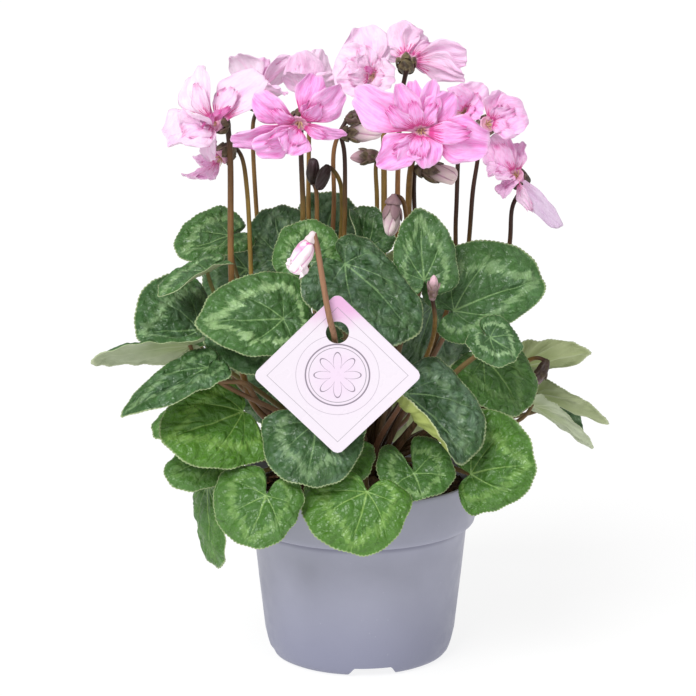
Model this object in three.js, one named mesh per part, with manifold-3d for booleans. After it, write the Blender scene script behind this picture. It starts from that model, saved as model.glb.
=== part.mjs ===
// Potted cyclamen with a hanging label.
// Frame: origin on the pot's axis at the ground, +Z up, the front faces -Y. Millimetres.
import * as THREE from "three";
import { mergeVertices } from "three/addons/utils/BufferGeometryUtils.js";
import Module from "manifold-3d";

const wasm = await Module();
wasm.setup();

// Driving dimensions
const POT_RIM_RADIUS = 60;
const POT_HEIGHT = 93.5;
const POT_WALL = 2;
const FOOT_HEIGHT = 5;
const FOOT_NOTCH_WIDTH = 22;
const FOOT_NOTCHES = 4;
const DRAIN_RADIUS = 4;
const SOIL_TOP = 84;
const TUBER_RADIUS = 19;
const TUBER_TOP = 96;
const TUBER_BOTTOM = 73;
const GAP = 0.35;
const BLADE_THICKNESS = 0.9;
const PETAL_THICKNESS = 0.8;
const PETIOLE_RADIUS = 1.6;
const PETIOLE_GAP = 0.6;
const STALK_RADIUS = 1.6;
const LABEL_SIDE = 56.5;
const LABEL_THICKNESS = 0.8;
const LABEL_CORNER = 3.5;
const LABEL_HOLE_RADIUS = 5.4;
const LABEL_HOLE_INSET = 13.6;

// The photo's viewpoint, worked out from the pot's rim and foot in it
const EYE = new THREE.Vector3(-6, -1363, 474.5);
const PITCH = THREE.MathUtils.degToRad(13.1);
const FOCAL = 2800;
const CENTRE = 348;

const v3 = (a) => new THREE.Vector3(a[0], a[1], a[2]);

// The point seen at a pixel, at a depth given as its y in the frame
function seen(px, py, depth) {
  const a = (px - CENTRE) / FOCAL;
  const b = (CENTRE - py) / FOCAL;
  const dy = Math.cos(PITCH) + b * Math.sin(PITCH);
  const dz = -Math.sin(PITCH) + b * Math.cos(PITCH);
  const t = (depth - EYE.y) / dy;
  return [EYE.x + a * t, depth, EYE.z + dz * t];
}

// Leaf blades. root: where the petiole meets the blade; face: upper side's direction.
// wide: left, right and back reach from the root, in mm, looking from the root to the tip.
// fold and curl: degrees, left and right; ends: curl of tip and back; wave: height in mm, phase.
const LEAVES = [
  { name: "leaf_left_1", root: seen(230, 236, -2), tip: seen(173, 250, -14), face: [-3, -5, 8],
    wide: [13, 20, 11], fold: [5, 5], curl: [-20, 20], ends: [-20, 0], wave: [1.5, 0] },
  { name: "leaf_left_2", root: seen(207, 271, -42), tip: seen(160, 292, -54), face: [-4, -4, 8],
    wide: [8, 14, 13], fold: [15, 5], curl: [40, 0], ends: [-10, 0], wave: [1, 1] },
  { name: "leaf_left_3", root: seen(200, 330, -38), tip: seen(132, 330, -50), face: [-5, -7, 4.5],
    wide: [10, 33, 8], fold: [5, 5], curl: [0, -20], ends: [-15, 0], wave: [1.5, 2] },
  { name: "leaf_left_4", root: seen(190, 345, -62), tip: seen(91, 352, -78), face: [0, 8, 6],
    wide: [13, 12, 6], fold: [0, 0], curl: [-50, 0], ends: [-10, 0], wave: [1, 0] },
  { name: "leaf_left_5", root: seen(208, 368, -72), tip: seen(122, 409, -90), face: [-3, -4, 8.5],
    wide: [17, 12, 8], fold: [25, 25], curl: [-40, 10], ends: [-10, 0], wave: [1, 0],
    via: [seen(260, 404, -48), seen(243, 383, -66)] },
  { name: "leaf_left_6", root: seen(206, 402, -36), tip: seen(146, 431, -48), face: [-5, -5, 7],
    wide: [15, 15, 8], fold: [0, 0], curl: [-10, -10], ends: [-20, 0], wave: [1, 1] },
  { name: "leaf_left_7", root: seen(243, 412, -62), tip: seen(158, 438, -85), face: [-2, -7, 6.5],
    wide: [26, 22, 4], fold: [-10, 15], curl: [-15, 0], ends: [-15, 10], wave: [2.5, 0] },
  { name: "leaf_left_8", root: seen(216, 454, -56), tip: seen(162, 477, -70), face: [-4, -8, 5],
    wide: [16, 12, 5], fold: [0, 0], curl: [-10, -10], ends: [-15, 0], wave: [1, 0] },
  { name: "leaf_left_9", root: seen(208, 484, -48), tip: seen(202, 576, -62), face: [-8, -4, 4.5],
    wide: [13, 17, 6], fold: [0, 0], curl: [-10, -10], ends: [-30, 0], wave: [1.5, 1] },
  { name: "leaf_front_1", root: seen(283, 319, -64), tip: seen(200, 319, -76), face: [-1, -8, 6],
    wide: [20, 25, 12], fold: [5, 8], curl: [-10, -15], ends: [-15, 0], wave: [1.2, 0],
    via: [seen(306, 350, -46)] },
  { name: "leaf_front_2", root: seen(276, 336, -48), tip: seen(199, 333, -60), face: [-1, -7, 7],
    wide: [22, 16, 10], fold: [0, 0], curl: [-10, 0], ends: [-15, 0], wave: [1, 0] },
  { name: "leaf_front_3", root: seen(286, 260, -6), tip: seen(268, 200, 4), face: [-2, -9, 4],
    wide: [18, 18, 8], fold: [5, 5], curl: [-10, -10], ends: [-20, 0], wave: [1.2, 2] },
  { name: "leaf_front_4", root: seen(308, 262, -42), tip: seen(306, 216, -34), face: [0, -9, 4],
    wide: [17, 17, 8], fold: [5, 5], curl: [-10, -10], ends: [-15, 0], wave: [1, 1],
    via: [seen(320, 330, -24)] },
  { name: "leaf_front_5", root: seen(345, 264, -58), tip: seen(426, 334, -76), face: [1, -8, 6],
    wide: [15, 24, 10], fold: [5, 5], curl: [-15, -10], ends: [-20, 0], wave: [1.5, 0] },
  { name: "leaf_front_6", root: seen(367, 247, -14), tip: seen(354, 204, -8), face: [2, -5, 8],
    wide: [13, 15, 8], fold: [35, 35], curl: [20, 20], ends: [-10, 20], wave: [1, 0] },
  { name: "leaf_front_7", root: seen(424, 280, -52), tip: seen(420, 209, -46), face: [1, -9, 4],
    wide: [15, 17, 7], fold: [12, 12], curl: [-20, -20], ends: [-15, 0], wave: [1, 2] },
  { name: "leaf_front_8", root: seen(316, 424, -74), tip: seen(306, 487, -98), face: [0, -7, 7],
    wide: [24, 26, 7], fold: [0, 0], curl: [-15, -15], ends: [-20, 0], wave: [1.5, 1],
    via: [[-16, -46, 134]] },
  { name: "leaf_front_9", root: seen(334, 446, -60), tip: seen(334, 489, -81), face: [0, -7, 7],
    wide: [20, 20, 5], fold: [0, 0], curl: [-10, -10], ends: [-20, 0], wave: [1, 0] },
  { name: "leaf_front_10", root: seen(367, 492, -83), tip: seen(348, 557, -100), face: [0, -7, 7],
    wide: [22, 31, 8], fold: [5, 5], curl: [-15, -20], ends: [-15, 0], wave: [1.5, 2] },
  { name: "leaf_front_11", root: seen(414, 474, -70), tip: seen(424, 499, -81), face: [1, -8, 6],
    wide: [20, 17, 19], fold: [0, 0], curl: [0, 0], ends: [-20, 15], wave: [1.5, 1] },
  { name: "leaf_front_12", root: seen(266, 496, -88), tip: seen(244, 549, -102), face: [-1, -7, 7],
    wide: [18, 26, 13], fold: [0, 0], curl: [-15, -15], ends: [-15, 0], wave: [1.2, 0] },
  { name: "leaf_right_1", root: seen(454, 311, -42), tip: seen(552, 271, -34), face: [2, -8, 5.5],
    wide: [31, 17, 11], fold: [10, 10], curl: [-15, -20], ends: [-15, 0], wave: [1.5, 0] },
  { name: "leaf_right_2", root: seen(490, 338, -62), tip: seen(520, 358, -68), face: [3, -7, 6],
    wide: [13, 14, 9], fold: [10, 10], curl: [-10, -10], ends: [-15, 0], wave: [0.8, 1],
    via: [seen(452, 376, -46)] },
  { name: "leaf_right_3", root: seen(484, 358, -26), tip: seen(531, 412, -40), face: [3.5, -7.5, 5.5],
    wide: [21, 22, 7], fold: [5, 5], curl: [-10, -10], ends: [-15, 0], wave: [1.2, 2] },
  { name: "leaf_right_4", root: seen(405, 394, -62), tip: seen(481, 458, -80), face: [2, -8, 5.5],
    wide: [27, 25, 8], fold: [5, 10], curl: [-15, 110], ends: [-15, 0], wave: [1, 0] },
  { name: "leaf_right_5", root: seen(471, 474, -60), tip: seen(538, 460, -71), face: [3, -8, 5],
    wide: [33, 20, 8], fold: [0, 0], curl: [-10, -15], ends: [-20, 0], wave: [1.5, 1] },
  { name: "leaf_right_6", root: seen(520, 366, 4), tip: seen(587, 349, 10), face: [-1, 8, 6],
    wide: [18, 15, 6], fold: [10, 10], curl: [20, 0], ends: [-10, 0], wave: [1, 0] },
  { name: "leaf_right_7", root: seen(536, 392, 14), tip: seen(603, 432, 26), face: [3, 6, 7],
    wide: [9, 11, 12], fold: [15, 15], curl: [20, 20], ends: [15, 0], wave: [0.8, 0] },
  { name: "leaf_right_8", root: seen(556, 400, 34), tip: seen(592, 426, 38), face: [3, -4, 8],
    wide: [9, 9, 3], fold: [0, 0], curl: [0, 0], ends: [-20, 0], wave: [0.8, 1] },
  { name: "leaf_right_9", root: seen(532, 404, 0), tip: seen(593, 441, 8), face: [2, 6, 7],
    wide: [7, 8, 5], fold: [10, 10], curl: [20, 20], ends: [-10, 0], wave: [0.5, 0] },
  { name: "leaf_rear_1", root: [-57, 22, 193], tip: [-79, 23, 176], face: [1, -8, 5],
    wide: [22, 22, 11], fold: [5, 5], curl: [-15, -15], ends: [-15, 0], wave: [1.5, 0] },
  { name: "leaf_rear_2", root: [-26, 42, 200], tip: [-56, 78, 188], face: [-2, 3, 8],
    wide: [25, 25, 11], fold: [5, 5], curl: [-20, -20], ends: [-20, 0], wave: [1.5, 1] },
  { name: "leaf_rear_3", root: [4, 50, 180], tip: [6, 105.5, 160], face: [0, 4, 8],
    wide: [27, 27, 12], fold: [5, 5], curl: [-20, -20], ends: [-20, 0], wave: [1.5, 2] },
  { name: "leaf_rear_4", root: [34, 42, 196], tip: [64, 76, 182], face: [2, 3, 8],
    wide: [25, 25, 11], fold: [5, 5], curl: [-20, -20], ends: [-20, 0], wave: [1.5, 0] },
  { name: "leaf_rear_5", root: [37, 28, 173], tip: [46, 37, 144], face: [0, -5, 6],
    wide: [24, 24, 11], fold: [5, 5], curl: [-15, -15], ends: [-15, 0], wave: [1.2, 1] },
  { name: "leaf_rear_6", root: [-66, 28, 138], tip: [-98, 46, 114], face: [-5, 3, 8],
    wide: [24, 24, 10], fold: [5, 5], curl: [-20, -20], ends: [-20, 0], wave: [1.5, 2] },
  { name: "leaf_rear_7", root: [-45, 49, 125], tip: [-59, 43, 110], face: [-2, -6, 6],
    wide: [22, 22, 10], fold: [5, 5], curl: [-15, -15], ends: [-15, 0], wave: [1.5, 0] },
  { name: "leaf_rear_8", root: [25, 55, 113], tip: [24, 65, 91], face: [0, -2, 8],
    wide: [21, 21, 10], fold: [5, 5], curl: [-15, -15], ends: [-15, 0], wave: [1.5, 1] },
  { name: "leaf_rear_9", root: [44, 60, 138], tip: [66, 90, 114], face: [3, 6, 8],
    wide: [26, 26, 10], fold: [5, 5], curl: [-20, -20], ends: [-20, 0], wave: [1.5, 2] },
  { name: "leaf_rear_10", root: [-17, 12, 209], tip: [-13, 4, 236], face: [-1, -6, 5],
    wide: [20, 20, 9], fold: [5, 5], curl: [-15, -15], ends: [-15, 0], wave: [1.2, 0] },
];

// Blooms. throat: the mouth's centre; faces: out of the mouth; stalk: points above the tuber.
// A petal is its tip, its width in mm and its roll in degrees.
const BLOOMS = [
  { name: "bloom_1", throat: seen(214, 124, -38), faces: [-6, -7, 1],
    petals: [[seen(194, 70, -22), 21, 0], [seen(262, 80, -26), 25, 0], [seen(182, 112, -52), 16, 0],
      [seen(168, 146, -54), 27, 0], [seen(214, 160, -50), 14, 20]],
    stalk: [seen(257, 409, -44), seen(241, 365, -40), seen(232, 290, -30), seen(230, 150, -28)] },
  { name: "bloom_2", throat: seen(220, 158, -24), faces: [-7, -3, -6],
    petals: [[seen(184, 177, -32), 14, 0], [seen(194, 162, -18), 12, 0], [seen(208, 179, -22), 10, 0],
      [seen(214, 142, -14), 10, 0]],
    stalk: [seen(256, 340, -28), seen(252, 290, -24), seen(247, 190, -18), seen(242, 158, -16)] },
  { name: "bloom_3", throat: seen(257, 96, 14), faces: [0, 6, 6],
    petals: [[seen(236, 54, 14), 15, 0], [seen(263, 58, 24), 17, 0], [seen(297, 63, 22), 16, 0],
      [seen(284, 92, 2), 13, 0]],
    stalk: [seen(262, 300, 6), seen(259, 250, 12), seen(253, 125, 13)] },
  { name: "bloom_4", throat: seen(299, 124, -48), faces: [-1, -8, -4],
    petals: [[seen(256, 97, -52), 15, 0], [seen(232, 141, -48), 14, 0], [seen(256, 152, -58), 16, 0],
      [seen(284, 154, -60), 18, 0], [seen(316, 76, -42), 14, 0], [seen(341, 90, -46), 17, 0],
      [seen(345, 134, -50), 9, 0]],
    stalk: [seen(304, 290, -20), seen(303, 205, -30), seen(301, 150, -36)] },
  { name: "bloom_5", throat: seen(309, 100, 4), faces: [0, 7, 6],
    petals: [[seen(298, 52, 6), 16, 0], [seen(322, 50, 10), 14, 0], [seen(336, 76, 0), 10, 0],
      [seen(286, 72, 0), 10, 0]],
    stalk: [seen(312, 290, -2), seen(309, 130, 4)] },
  { name: "bloom_6", throat: seen(373, 76, -16), faces: [-1, -8, 2],
    petals: [[seen(337, 58, -14), 20, 0], [seen(364, 28, -8), 18, 0], [seen(338, 84, -22), 15, 0],
      [seen(386, 46, -12), 9, 0], [seen(392, 78, -26), 15, 0]],
    stalk: [seen(382, 300, -12), seen(384, 170, -8), seen(382, 110, -6)] },
  { name: "bloom_7", throat: seen(406, 60, 14), faces: [0, 9, 4],
    petals: [[seen(397, 22, 20), 16, 0], [seen(428, 36, 24), 21, 0], [seen(466, 60, 14), 17, 0],
      [seen(462, 78, 6), 14, 0], [seen(380, 52, 18), 10, 0]],
    stalk: [seen(394, 300, -4), seen(398, 170, 6), seen(401, 100, 8)] },
  { name: "bloom_8", throat: seen(421, 131, -60), faces: [0, -9, -1],
    petals: [[seen(398, 84, -64), 15, 0], [seen(412, 82, -58), 14, 0], [seen(434, 82, -62), 15, 0],
      [seen(452, 94, -60), 16, 0], [seen(356, 94, -58), 20, 0], [seen(489, 142, -64), 23, 0],
      [seen(378, 164, -66), 17, 0], [seen(400, 163, -68), 12, 0], [seen(430, 166, -68), 16, 0]],
    stalk: [seen(404, 300, -14), seen(408, 235, -14), seen(410, 175, -28)] },
  { name: "bloom_9", throat: seen(464, 112, -10), faces: [0, -8, 4],
    petals: [[seen(482, 84, -10), 15, 0], [seen(454, 88, -18), 14, 0], [seen(484, 112, -18), 14, 0],
      [seen(468, 86, -2), 17, 0]],
    stalk: [seen(450, 300, -4), seen(456, 215, -4), seen(459, 145, -4)] },
  { name: "bloom_10", throat: seen(488, 124, -20), faces: [4, -7, 4],
    petals: [[seen(503, 92, -16), 16, 0], [seen(526, 110, -18), 20, 0], [seen(520, 130, -24), 14, 0]],
    stalk: [seen(462, 300, -6), seen(469, 240, -6), seen(473, 190, -8), seen(478, 156, -9)] },
  { name: "bloom_11", throat: seen(516, 176, -14), faces: [-4, -5, 5],
    petals: [[seen(490, 136, -12), 16, 0], [seen(520, 143, -8), 14, 0], [seen(488, 176, -24), 15, 0],
      [seen(503, 196, -26), 12, 0], [seen(558, 226, -24), 12, 0]],
    stalk: [seen(500, 320, -10), seen(510, 240, -12), seen(513, 205, -12)] },
];

// Buds. from: the base; to: the point; wide: radius; pink buds have a petal body of their own.
const BUDS = [
  { name: "bud_1", from: seen(349, 134, -26), to: seen(382, 132, -28), wide: 4.6, pink: true,
    stalk: [seen(344, 300, -12), seen(345, 200, -18), seen(344, 150, -22)] },
  { name: "bud_2", from: seen(424, 170, -30), to: seen(457, 177, -34), wide: 5, pink: true,
    stalk: [seen(412, 300, -14), seen(415, 240, -16), seen(414, 185, -22)] },
  { name: "bud_3", from: seen(393, 205, -34), to: seen(390, 236, -36), wide: 4.6, pink: true,
    stalk: [seen(396, 310, -18), seen(405, 250, -22), seen(406, 215, -27), seen(401, 198, -32)] },
  { name: "bud_4", from: seen(309, 242, -96.5), to: seen(293, 273, -96.5), wide: 5, pink: true,
    stalk: [seen(352, 445, -22), seen(345, 400, -46), seen(338, 364, -72), seen(335.5, 347, -82.5),
      seen(334.3, 337, -88.5), seen(332.8, 330, -93), seen(330.2, 321, -96.4), seen(326, 300, -96.8),
      seen(320, 264, -96.8), seen(317, 246, -96.6)] },
  { name: "bud_5", from: seen(355, 118, 2), to: seen(377, 112, 2), wide: 4.4, pink: false,
    stalk: [seen(332, 300, 0), seen(334, 200, 0), seen(334, 150, 0), seen(339, 134, 0)] },
  { name: "bud_6", from: seen(370, 156, 4), to: seen(350, 158, 4), wide: 4, pink: false,
    stalk: [seen(376, 300, 2), seen(377, 200, 4), seen(376, 165, 4)] },
  { name: "bud_7", from: seen(313, 174, -12), to: seen(313, 158, -12), wide: 3.6, pink: false,
    stalk: [seen(320, 300, -16), seen(317, 230, -16), seen(316, 190, -14)] },
  { name: "bud_8", from: seen(324, 175, -20), to: seen(318, 190, -21), wide: 3.4, pink: false,
    stalk: [seen(338, 300, -6), seen(342, 215, -10), seen(340, 182, -14), seen(332, 169, -17)] },
  { name: "bud_9", from: seen(433, 290, -66), to: seen(434, 275, -68), wide: 2.8, pink: false,
    stalk: [seen(424, 362, -30), seen(435, 322, -56)] },
  { name: "bud_10", from: seen(543, 369, -12), to: seen(535, 386, -13), wide: 3.2, pink: false,
    stalk: [seen(470, 420, -8), seen(519, 378, -8), seen(528, 361, -9), seen(538, 358, -11)] },
];

// A closed tube through points, of few sides, its radius changing evenly along it
function tube(points, radiusStart, radiusEnd, sides) {
  const segments = points.length - 1;
  const positions = [];
  const index = [];
  let normal = new THREE.Vector3(1, 0.2, 0);
  for (let i = 0; i <= segments; i += 1) {
    const before = points[Math.max(i - 1, 0)];
    const after = points[Math.min(i + 1, segments)];
    const along = after.clone().sub(before).normalize();
    normal = normal.clone().addScaledVector(along, -normal.dot(along)).normalize();
    const binormal = new THREE.Vector3().crossVectors(along, normal);
    const radius = radiusStart + (radiusEnd - radiusStart) * (i / segments);
    for (let k = 0; k < sides; k += 1) {
      const angle = (2 * Math.PI * k) / sides;
      const p = points[i].clone();
      p.addScaledVector(normal, radius * Math.cos(angle));
      p.addScaledVector(binormal, radius * Math.sin(angle));
      positions.push(p);
    }
  }
  for (let i = 0; i < segments; i += 1) {
    for (let k = 0; k < sides; k += 1) {
      const a = i * sides + k;
      const b = i * sides + ((k + 1) % sides);
      index.push([a, b, b + sides], [a, b + sides, a + sides]);
    }
  }
  const last = segments * sides;
  for (let k = 1; k < sides - 1; k += 1) {
    index.push([0, k + 1, k], [last, last + k, last + k + 1]);
  }
  return closed(positions, index);
}

// Geometry from points and triangles
function closed(points, triangles) {
  const geometry = new THREE.BufferGeometry();
  const flat = points.flatMap((p) => [p.x, p.y, p.z]);
  geometry.setAttribute("position", new THREE.Float32BufferAttribute(flat, 3));
  geometry.setIndex(triangles.flat());
  return geometry;
}

// Positions and triangles only, with shared corners made one
function weldedFrom(geometry) {
  const bare = new THREE.BufferGeometry();
  bare.setAttribute("position", geometry.getAttribute("position"));
  if (geometry.index) {
    bare.setIndex(geometry.index);
  }
  return mergeVertices(bare, 1e-4);
}

// A solid for joining and cutting, from a geometry
function solid(geometry) {
  const welded = weldedFrom(geometry);
  const mesh = new wasm.Mesh({
    numProp: 3,
    vertProperties: new Float32Array(welded.getAttribute("position").array),
    triVerts: new Uint32Array(welded.index.array),
  });
  const body = new wasm.Manifold(mesh);
  return body.volume() < 0 ? new wasm.Manifold(flipped(mesh)) : body;
}

// The same triangles, facing the other way
function flipped(mesh) {
  const verts = mesh.triVerts;
  for (let i = 0; i < verts.length; i += 3) {
    [verts[i], verts[i + 1]] = [verts[i + 1], verts[i]];
  }
  return mesh;
}

// A joined body without the slivers that joining leaves
function plain(body) {
  return body.asOriginal().simplify(0.05);
}

// Back to a geometry
function geometryOf(body) {
  const mesh = body.getMesh();
  const geometry = new THREE.BufferGeometry();
  geometry.setAttribute("position", new THREE.Float32BufferAttribute(mesh.vertProperties, 3));
  geometry.setIndex(Array.from(mesh.triVerts));
  return geometry;
}

// Heart-shaped outline, from the tip round one side to the slit at the root
const OUTLINE = new THREE.CatmullRomCurve3([
  new THREE.Vector3(1, 0, 0),
  new THREE.Vector3(0.91, 0.3, 0),
  new THREE.Vector3(0.77, 0.64, 0),
  new THREE.Vector3(0.47, 0.9, 0),
  new THREE.Vector3(0.05, 1, 0),
  new THREE.Vector3(-0.45, 0.94, 0),
  new THREE.Vector3(-0.88, 0.68, 0),
  new THREE.Vector3(-1, 0.3, 0),
  new THREE.Vector3(-0.08, 0, 0),
]);
const OUTLINE_STEPS = 24;
const TOOTH = 0.025;

// The blade's own axes: to the tip, to the left, and out of the upper side
function bladeAxes(leaf) {
  const root = v3(leaf.root);
  const along = v3(leaf.tip).sub(root);
  const reach = along.length();
  along.normalize();
  const up = v3(leaf.face);
  up.addScaledVector(along, -up.dot(along)).normalize();
  const left = new THREE.Vector3().crossVectors(up, along);
  return { root, along, left, up, reach };
}

// Bends a flat distance by an even curl: how far out, how far up, and the slope there
function arc(distance, span, start, curl) {
  const from = THREE.MathUtils.degToRad(start);
  const turn = THREE.MathUtils.degToRad(curl) / span;
  const slope = from + turn * distance;
  if (Math.abs(turn) < 1e-6) {
    return [distance * Math.cos(from), distance * Math.sin(from), slope];
  }
  const out = (Math.sin(slope) - Math.sin(from)) / turn;
  const up = (Math.cos(from) - Math.cos(slope)) / turn;
  return [out, up, slope];
}

// A point of the bent blade from its flat place and its height off the middle surface
function bladePoint(leaf, axes, x, y, lift) {
  const side = y >= 0 ? 0 : 1;
  const sign = y >= 0 ? 1 : -1;
  const reach = Math.hypot(x, y) / axes.reach;
  const turn = Math.sin(3 * Math.atan2(y, x) + leaf.wave[1] * 2);
  const ripple = leaf.wave[0] * Math.min(reach * reach, 1.2) * turn;
  const high = lift + ripple;
  const [out, rise, tilt] = arc(Math.abs(y), leaf.wide[side], leaf.fold[side], leaf.curl[side]);
  const slant = Math.abs(y) < 1e-6 ? 0 : tilt;
  const across = sign * (out - high * Math.sin(slant));
  const height = rise + high * Math.cos(slant);
  const end = x >= 0 ? 0 : 1;
  const span = end === 0 ? axes.reach : leaf.wide[2];
  const [far, climb, slope] = arc(Math.abs(x), span, 0, leaf.ends[end]);
  const forward = (x >= 0 ? 1 : -1) * (far - height * Math.sin(slope));
  const p = axes.root.clone();
  p.addScaledVector(axes.along, forward);
  p.addScaledVector(axes.left, across);
  p.addScaledVector(axes.up, climb + height * Math.cos(slope));
  return p;
}

// Flat place on the outline: s runs from -1 to 1, with the tip at 0
function outlinePlace(leaf, axes, s) {
  const key = OUTLINE.getPoint(Math.abs(s));
  const x = key.x >= 0 ? key.x * axes.reach : key.x * leaf.wide[2];
  const y = s >= 0 ? key.y * leaf.wide[0] : -key.y * leaf.wide[1];
  return [x, y];
}

// A blade: centre point, inner ring and toothed edge, on both faces, with a rim between
function bladeGeometry(leaf) {
  const axes = bladeAxes(leaf);
  const half = BLADE_THICKNESS / 2;
  const points = [];
  for (const lift of [half, -half]) {
    points.push(bladePoint(leaf, axes, 0, 0, lift));
    for (let i = 0; i < OUTLINE_STEPS; i += 2) {
      const [x, y] = outlinePlace(leaf, axes, (2 * i) / OUTLINE_STEPS - 1);
      points.push(bladePoint(leaf, axes, 0.56 * x, 0.56 * y, lift));
    }
    for (let i = 0; i < OUTLINE_STEPS; i += 1) {
      const [x, y] = outlinePlace(leaf, axes, (2 * i) / OUTLINE_STEPS - 1);
      const cut = i === 0 ? 1 : 1 + (i % 2 === 0 ? TOOTH : -TOOTH);
      points.push(bladePoint(leaf, axes, cut * x, cut * y, lift));
    }
  }
  const inner = OUTLINE_STEPS / 2;
  const perFace = 1 + inner + OUTLINE_STEPS;
  const triangles = [];
  const face = (a, b, c) => {
    triangles.push([a, b, c], [a + perFace, c + perFace, b + perFace]);
  };
  const ring = (i) => 1 + (i % inner);
  const edge = (i) => 1 + inner + (i % OUTLINE_STEPS);
  for (let i = 0; i < inner; i += 1) {
    face(0, ring(i), ring(i + 1));
    face(ring(i), edge(2 * i), edge(2 * i + 1));
    face(ring(i), edge(2 * i + 1), ring(i + 1));
    face(ring(i + 1), edge(2 * i + 1), edge(2 * i + 2));
  }
  for (let i = 0; i < OUTLINE_STEPS; i += 1) {
    const a = edge(i);
    const b = edge(i + 1);
    triangles.push([a, a + perFace, b + perFace], [a, b + perFace, b]);
  }
  return closed(points, triangles);
}

// The petiole's line, from the tuber's crown to just under the blade
function petioleLine(leaf) {
  const axes = bladeAxes(leaf);
  const end = axes.root.clone().addScaledVector(axes.up, -(BLADE_THICKNESS / 2 + PETIOLE_GAP));
  const bearing = Math.atan2(end.y, end.x);
  const start = new THREE.Vector3(10 * Math.cos(bearing), 10 * Math.sin(bearing), TUBER_TOP - 6);
  if (leaf.via) {
    const near = end.clone().addScaledVector(axes.up, -6);
    return [start, ...leaf.via.map(v3), near, end];
  }
  const distance = end.distanceTo(start);
  const rise = new THREE.Vector3(0.35 * Math.cos(bearing), 0.35 * Math.sin(bearing), 1).normalize();
  const low = start.clone().addScaledVector(rise, 0.4 * distance);
  const behind = end.clone().addScaledVector(axes.up, -0.3 * distance);
  const curve = new THREE.CubicBezierCurve3(start, low, behind, end);
  return curve.getPoints(5);
}

// A petal from the throat to its tip: narrow at the root, widest near the end
const PETAL_START = 2;
const PETAL_ROWS = [[0, 0.14], [0.34, 0.6], [0.7, 1], [0.95, 0.66]];

function petalGeometry(bloom, petal) {
  const throat = v3(bloom.throat);
  const faces = v3(bloom.faces).normalize();
  const tip = v3(petal[0]);
  const along = tip.clone().sub(throat);
  const reach = along.length();
  along.normalize();
  const up = faces.clone().addScaledVector(along, -faces.dot(along)).normalize();
  up.applyAxisAngle(along, THREE.MathUtils.degToRad(petal[2]));
  const left = new THREE.Vector3().crossVectors(up, along);
  const points = [];
  const half = PETAL_THICKNESS / 2;
  for (const lift of [half, -half]) {
    PETAL_ROWS.forEach(([u, w], row) => {
      for (const side of [-1, 0, 1]) {
        const p = throat.clone().addScaledVector(faces, -0.8);
        const further = side === 0 && row > 2 ? 0.05 : 0;
        const bow = 0.12 * reach * 4 * u * (1 - u);
        const ruffle = side * 0.07 * petal[1] * Math.sin(5 * u + petal[1]);
        const cup = side === 0 ? 0 : 0.1 * petal[1] * u;
        p.addScaledVector(along, PETAL_START + (reach - PETAL_START) * Math.min(u + further, 1));
        p.addScaledVector(left, (side * w * petal[1]) / 2);
        p.addScaledVector(up, lift + bow + ruffle + cup);
        points.push(p);
      }
    });
  }
  const perFace = PETAL_ROWS.length * 3;
  const triangles = [];
  const face = (a, b, c) => {
    triangles.push([a, b, c], [a + perFace, c + perFace, b + perFace]);
  };
  for (let row = 0; row < PETAL_ROWS.length - 1; row += 1) {
    for (let k = 0; k < 2; k += 1) {
      const a = row * 3 + k;
      face(a, a + 3, a + 4);
      face(a, a + 4, a + 1);
    }
  }
  const rim = [0, 1, 2, 5, 8, 11, 10, 9, 6, 3];
  rim.forEach((a, i) => {
    const b = rim[(i + 1) % rim.length];
    triangles.push([a, b, b + perFace], [a, b + perFace, a + perFace]);
  });
  return closed(points, triangles);
}

// A few-sided turned body along a line: rows of distance and radius
function turned(from, toward, rows, sides) {
  const axis = toward.clone().normalize();
  const spare = Math.abs(axis.z) < 0.9 ? new THREE.Vector3(0, 0, 1) : new THREE.Vector3(1, 0, 0);
  const u = new THREE.Vector3().crossVectors(spare, axis).normalize();
  const w = new THREE.Vector3().crossVectors(axis, u);
  const points = [];
  const triangles = [];
  for (const [distance, radius] of rows) {
    for (let k = 0; k < sides; k += 1) {
      const angle = (2 * Math.PI * k) / sides;
      const p = from.clone().addScaledVector(axis, distance);
      p.addScaledVector(u, radius * Math.cos(angle));
      p.addScaledVector(w, radius * Math.sin(angle));
      points.push(p);
    }
  }
  for (let i = 0; i < rows.length - 1; i += 1) {
    for (let k = 0; k < sides; k += 1) {
      const a = i * sides + k;
      const b = i * sides + ((k + 1) % sides);
      triangles.push([a, b, b + sides], [a, b + sides, a + sides]);
    }
  }
  const last = (rows.length - 1) * sides;
  for (let k = 1; k < sides - 1; k += 1) {
    triangles.push([0, k + 1, k], [last, last + k, last + k + 1]);
  }
  return closed(points, triangles);
}

// A bloom: a short cup with the petals grown from its mouth
const CUP_DEPTH = 5;
const CALYX_DEPTH = 4;

function bloomGeometry(bloom) {
  const throat = v3(bloom.throat);
  const faces = v3(bloom.faces).normalize();
  let body = solid(turned(throat, faces, [[-CUP_DEPTH, 2.6], [-2, 4], [1.4, 4.4]], 6));
  for (const petal of bloom.petals) {
    body = body.add(solid(petalGeometry(bloom, petal)));
  }
  return geometryOf(plain(body));
}

// A closed bud, widest a third of the way along
function budGeometry(bud) {
  const from = v3(bud.from);
  const along = v3(bud.to).sub(from);
  const reach = along.length();
  const rows = [[0, 0.6], [0.35, 1], [0.75, 0.7], [1, 0.12]];
  return turned(from, along, rows.map(([u, r]) => [u * reach, r * bud.wide]), 6);
}

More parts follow.
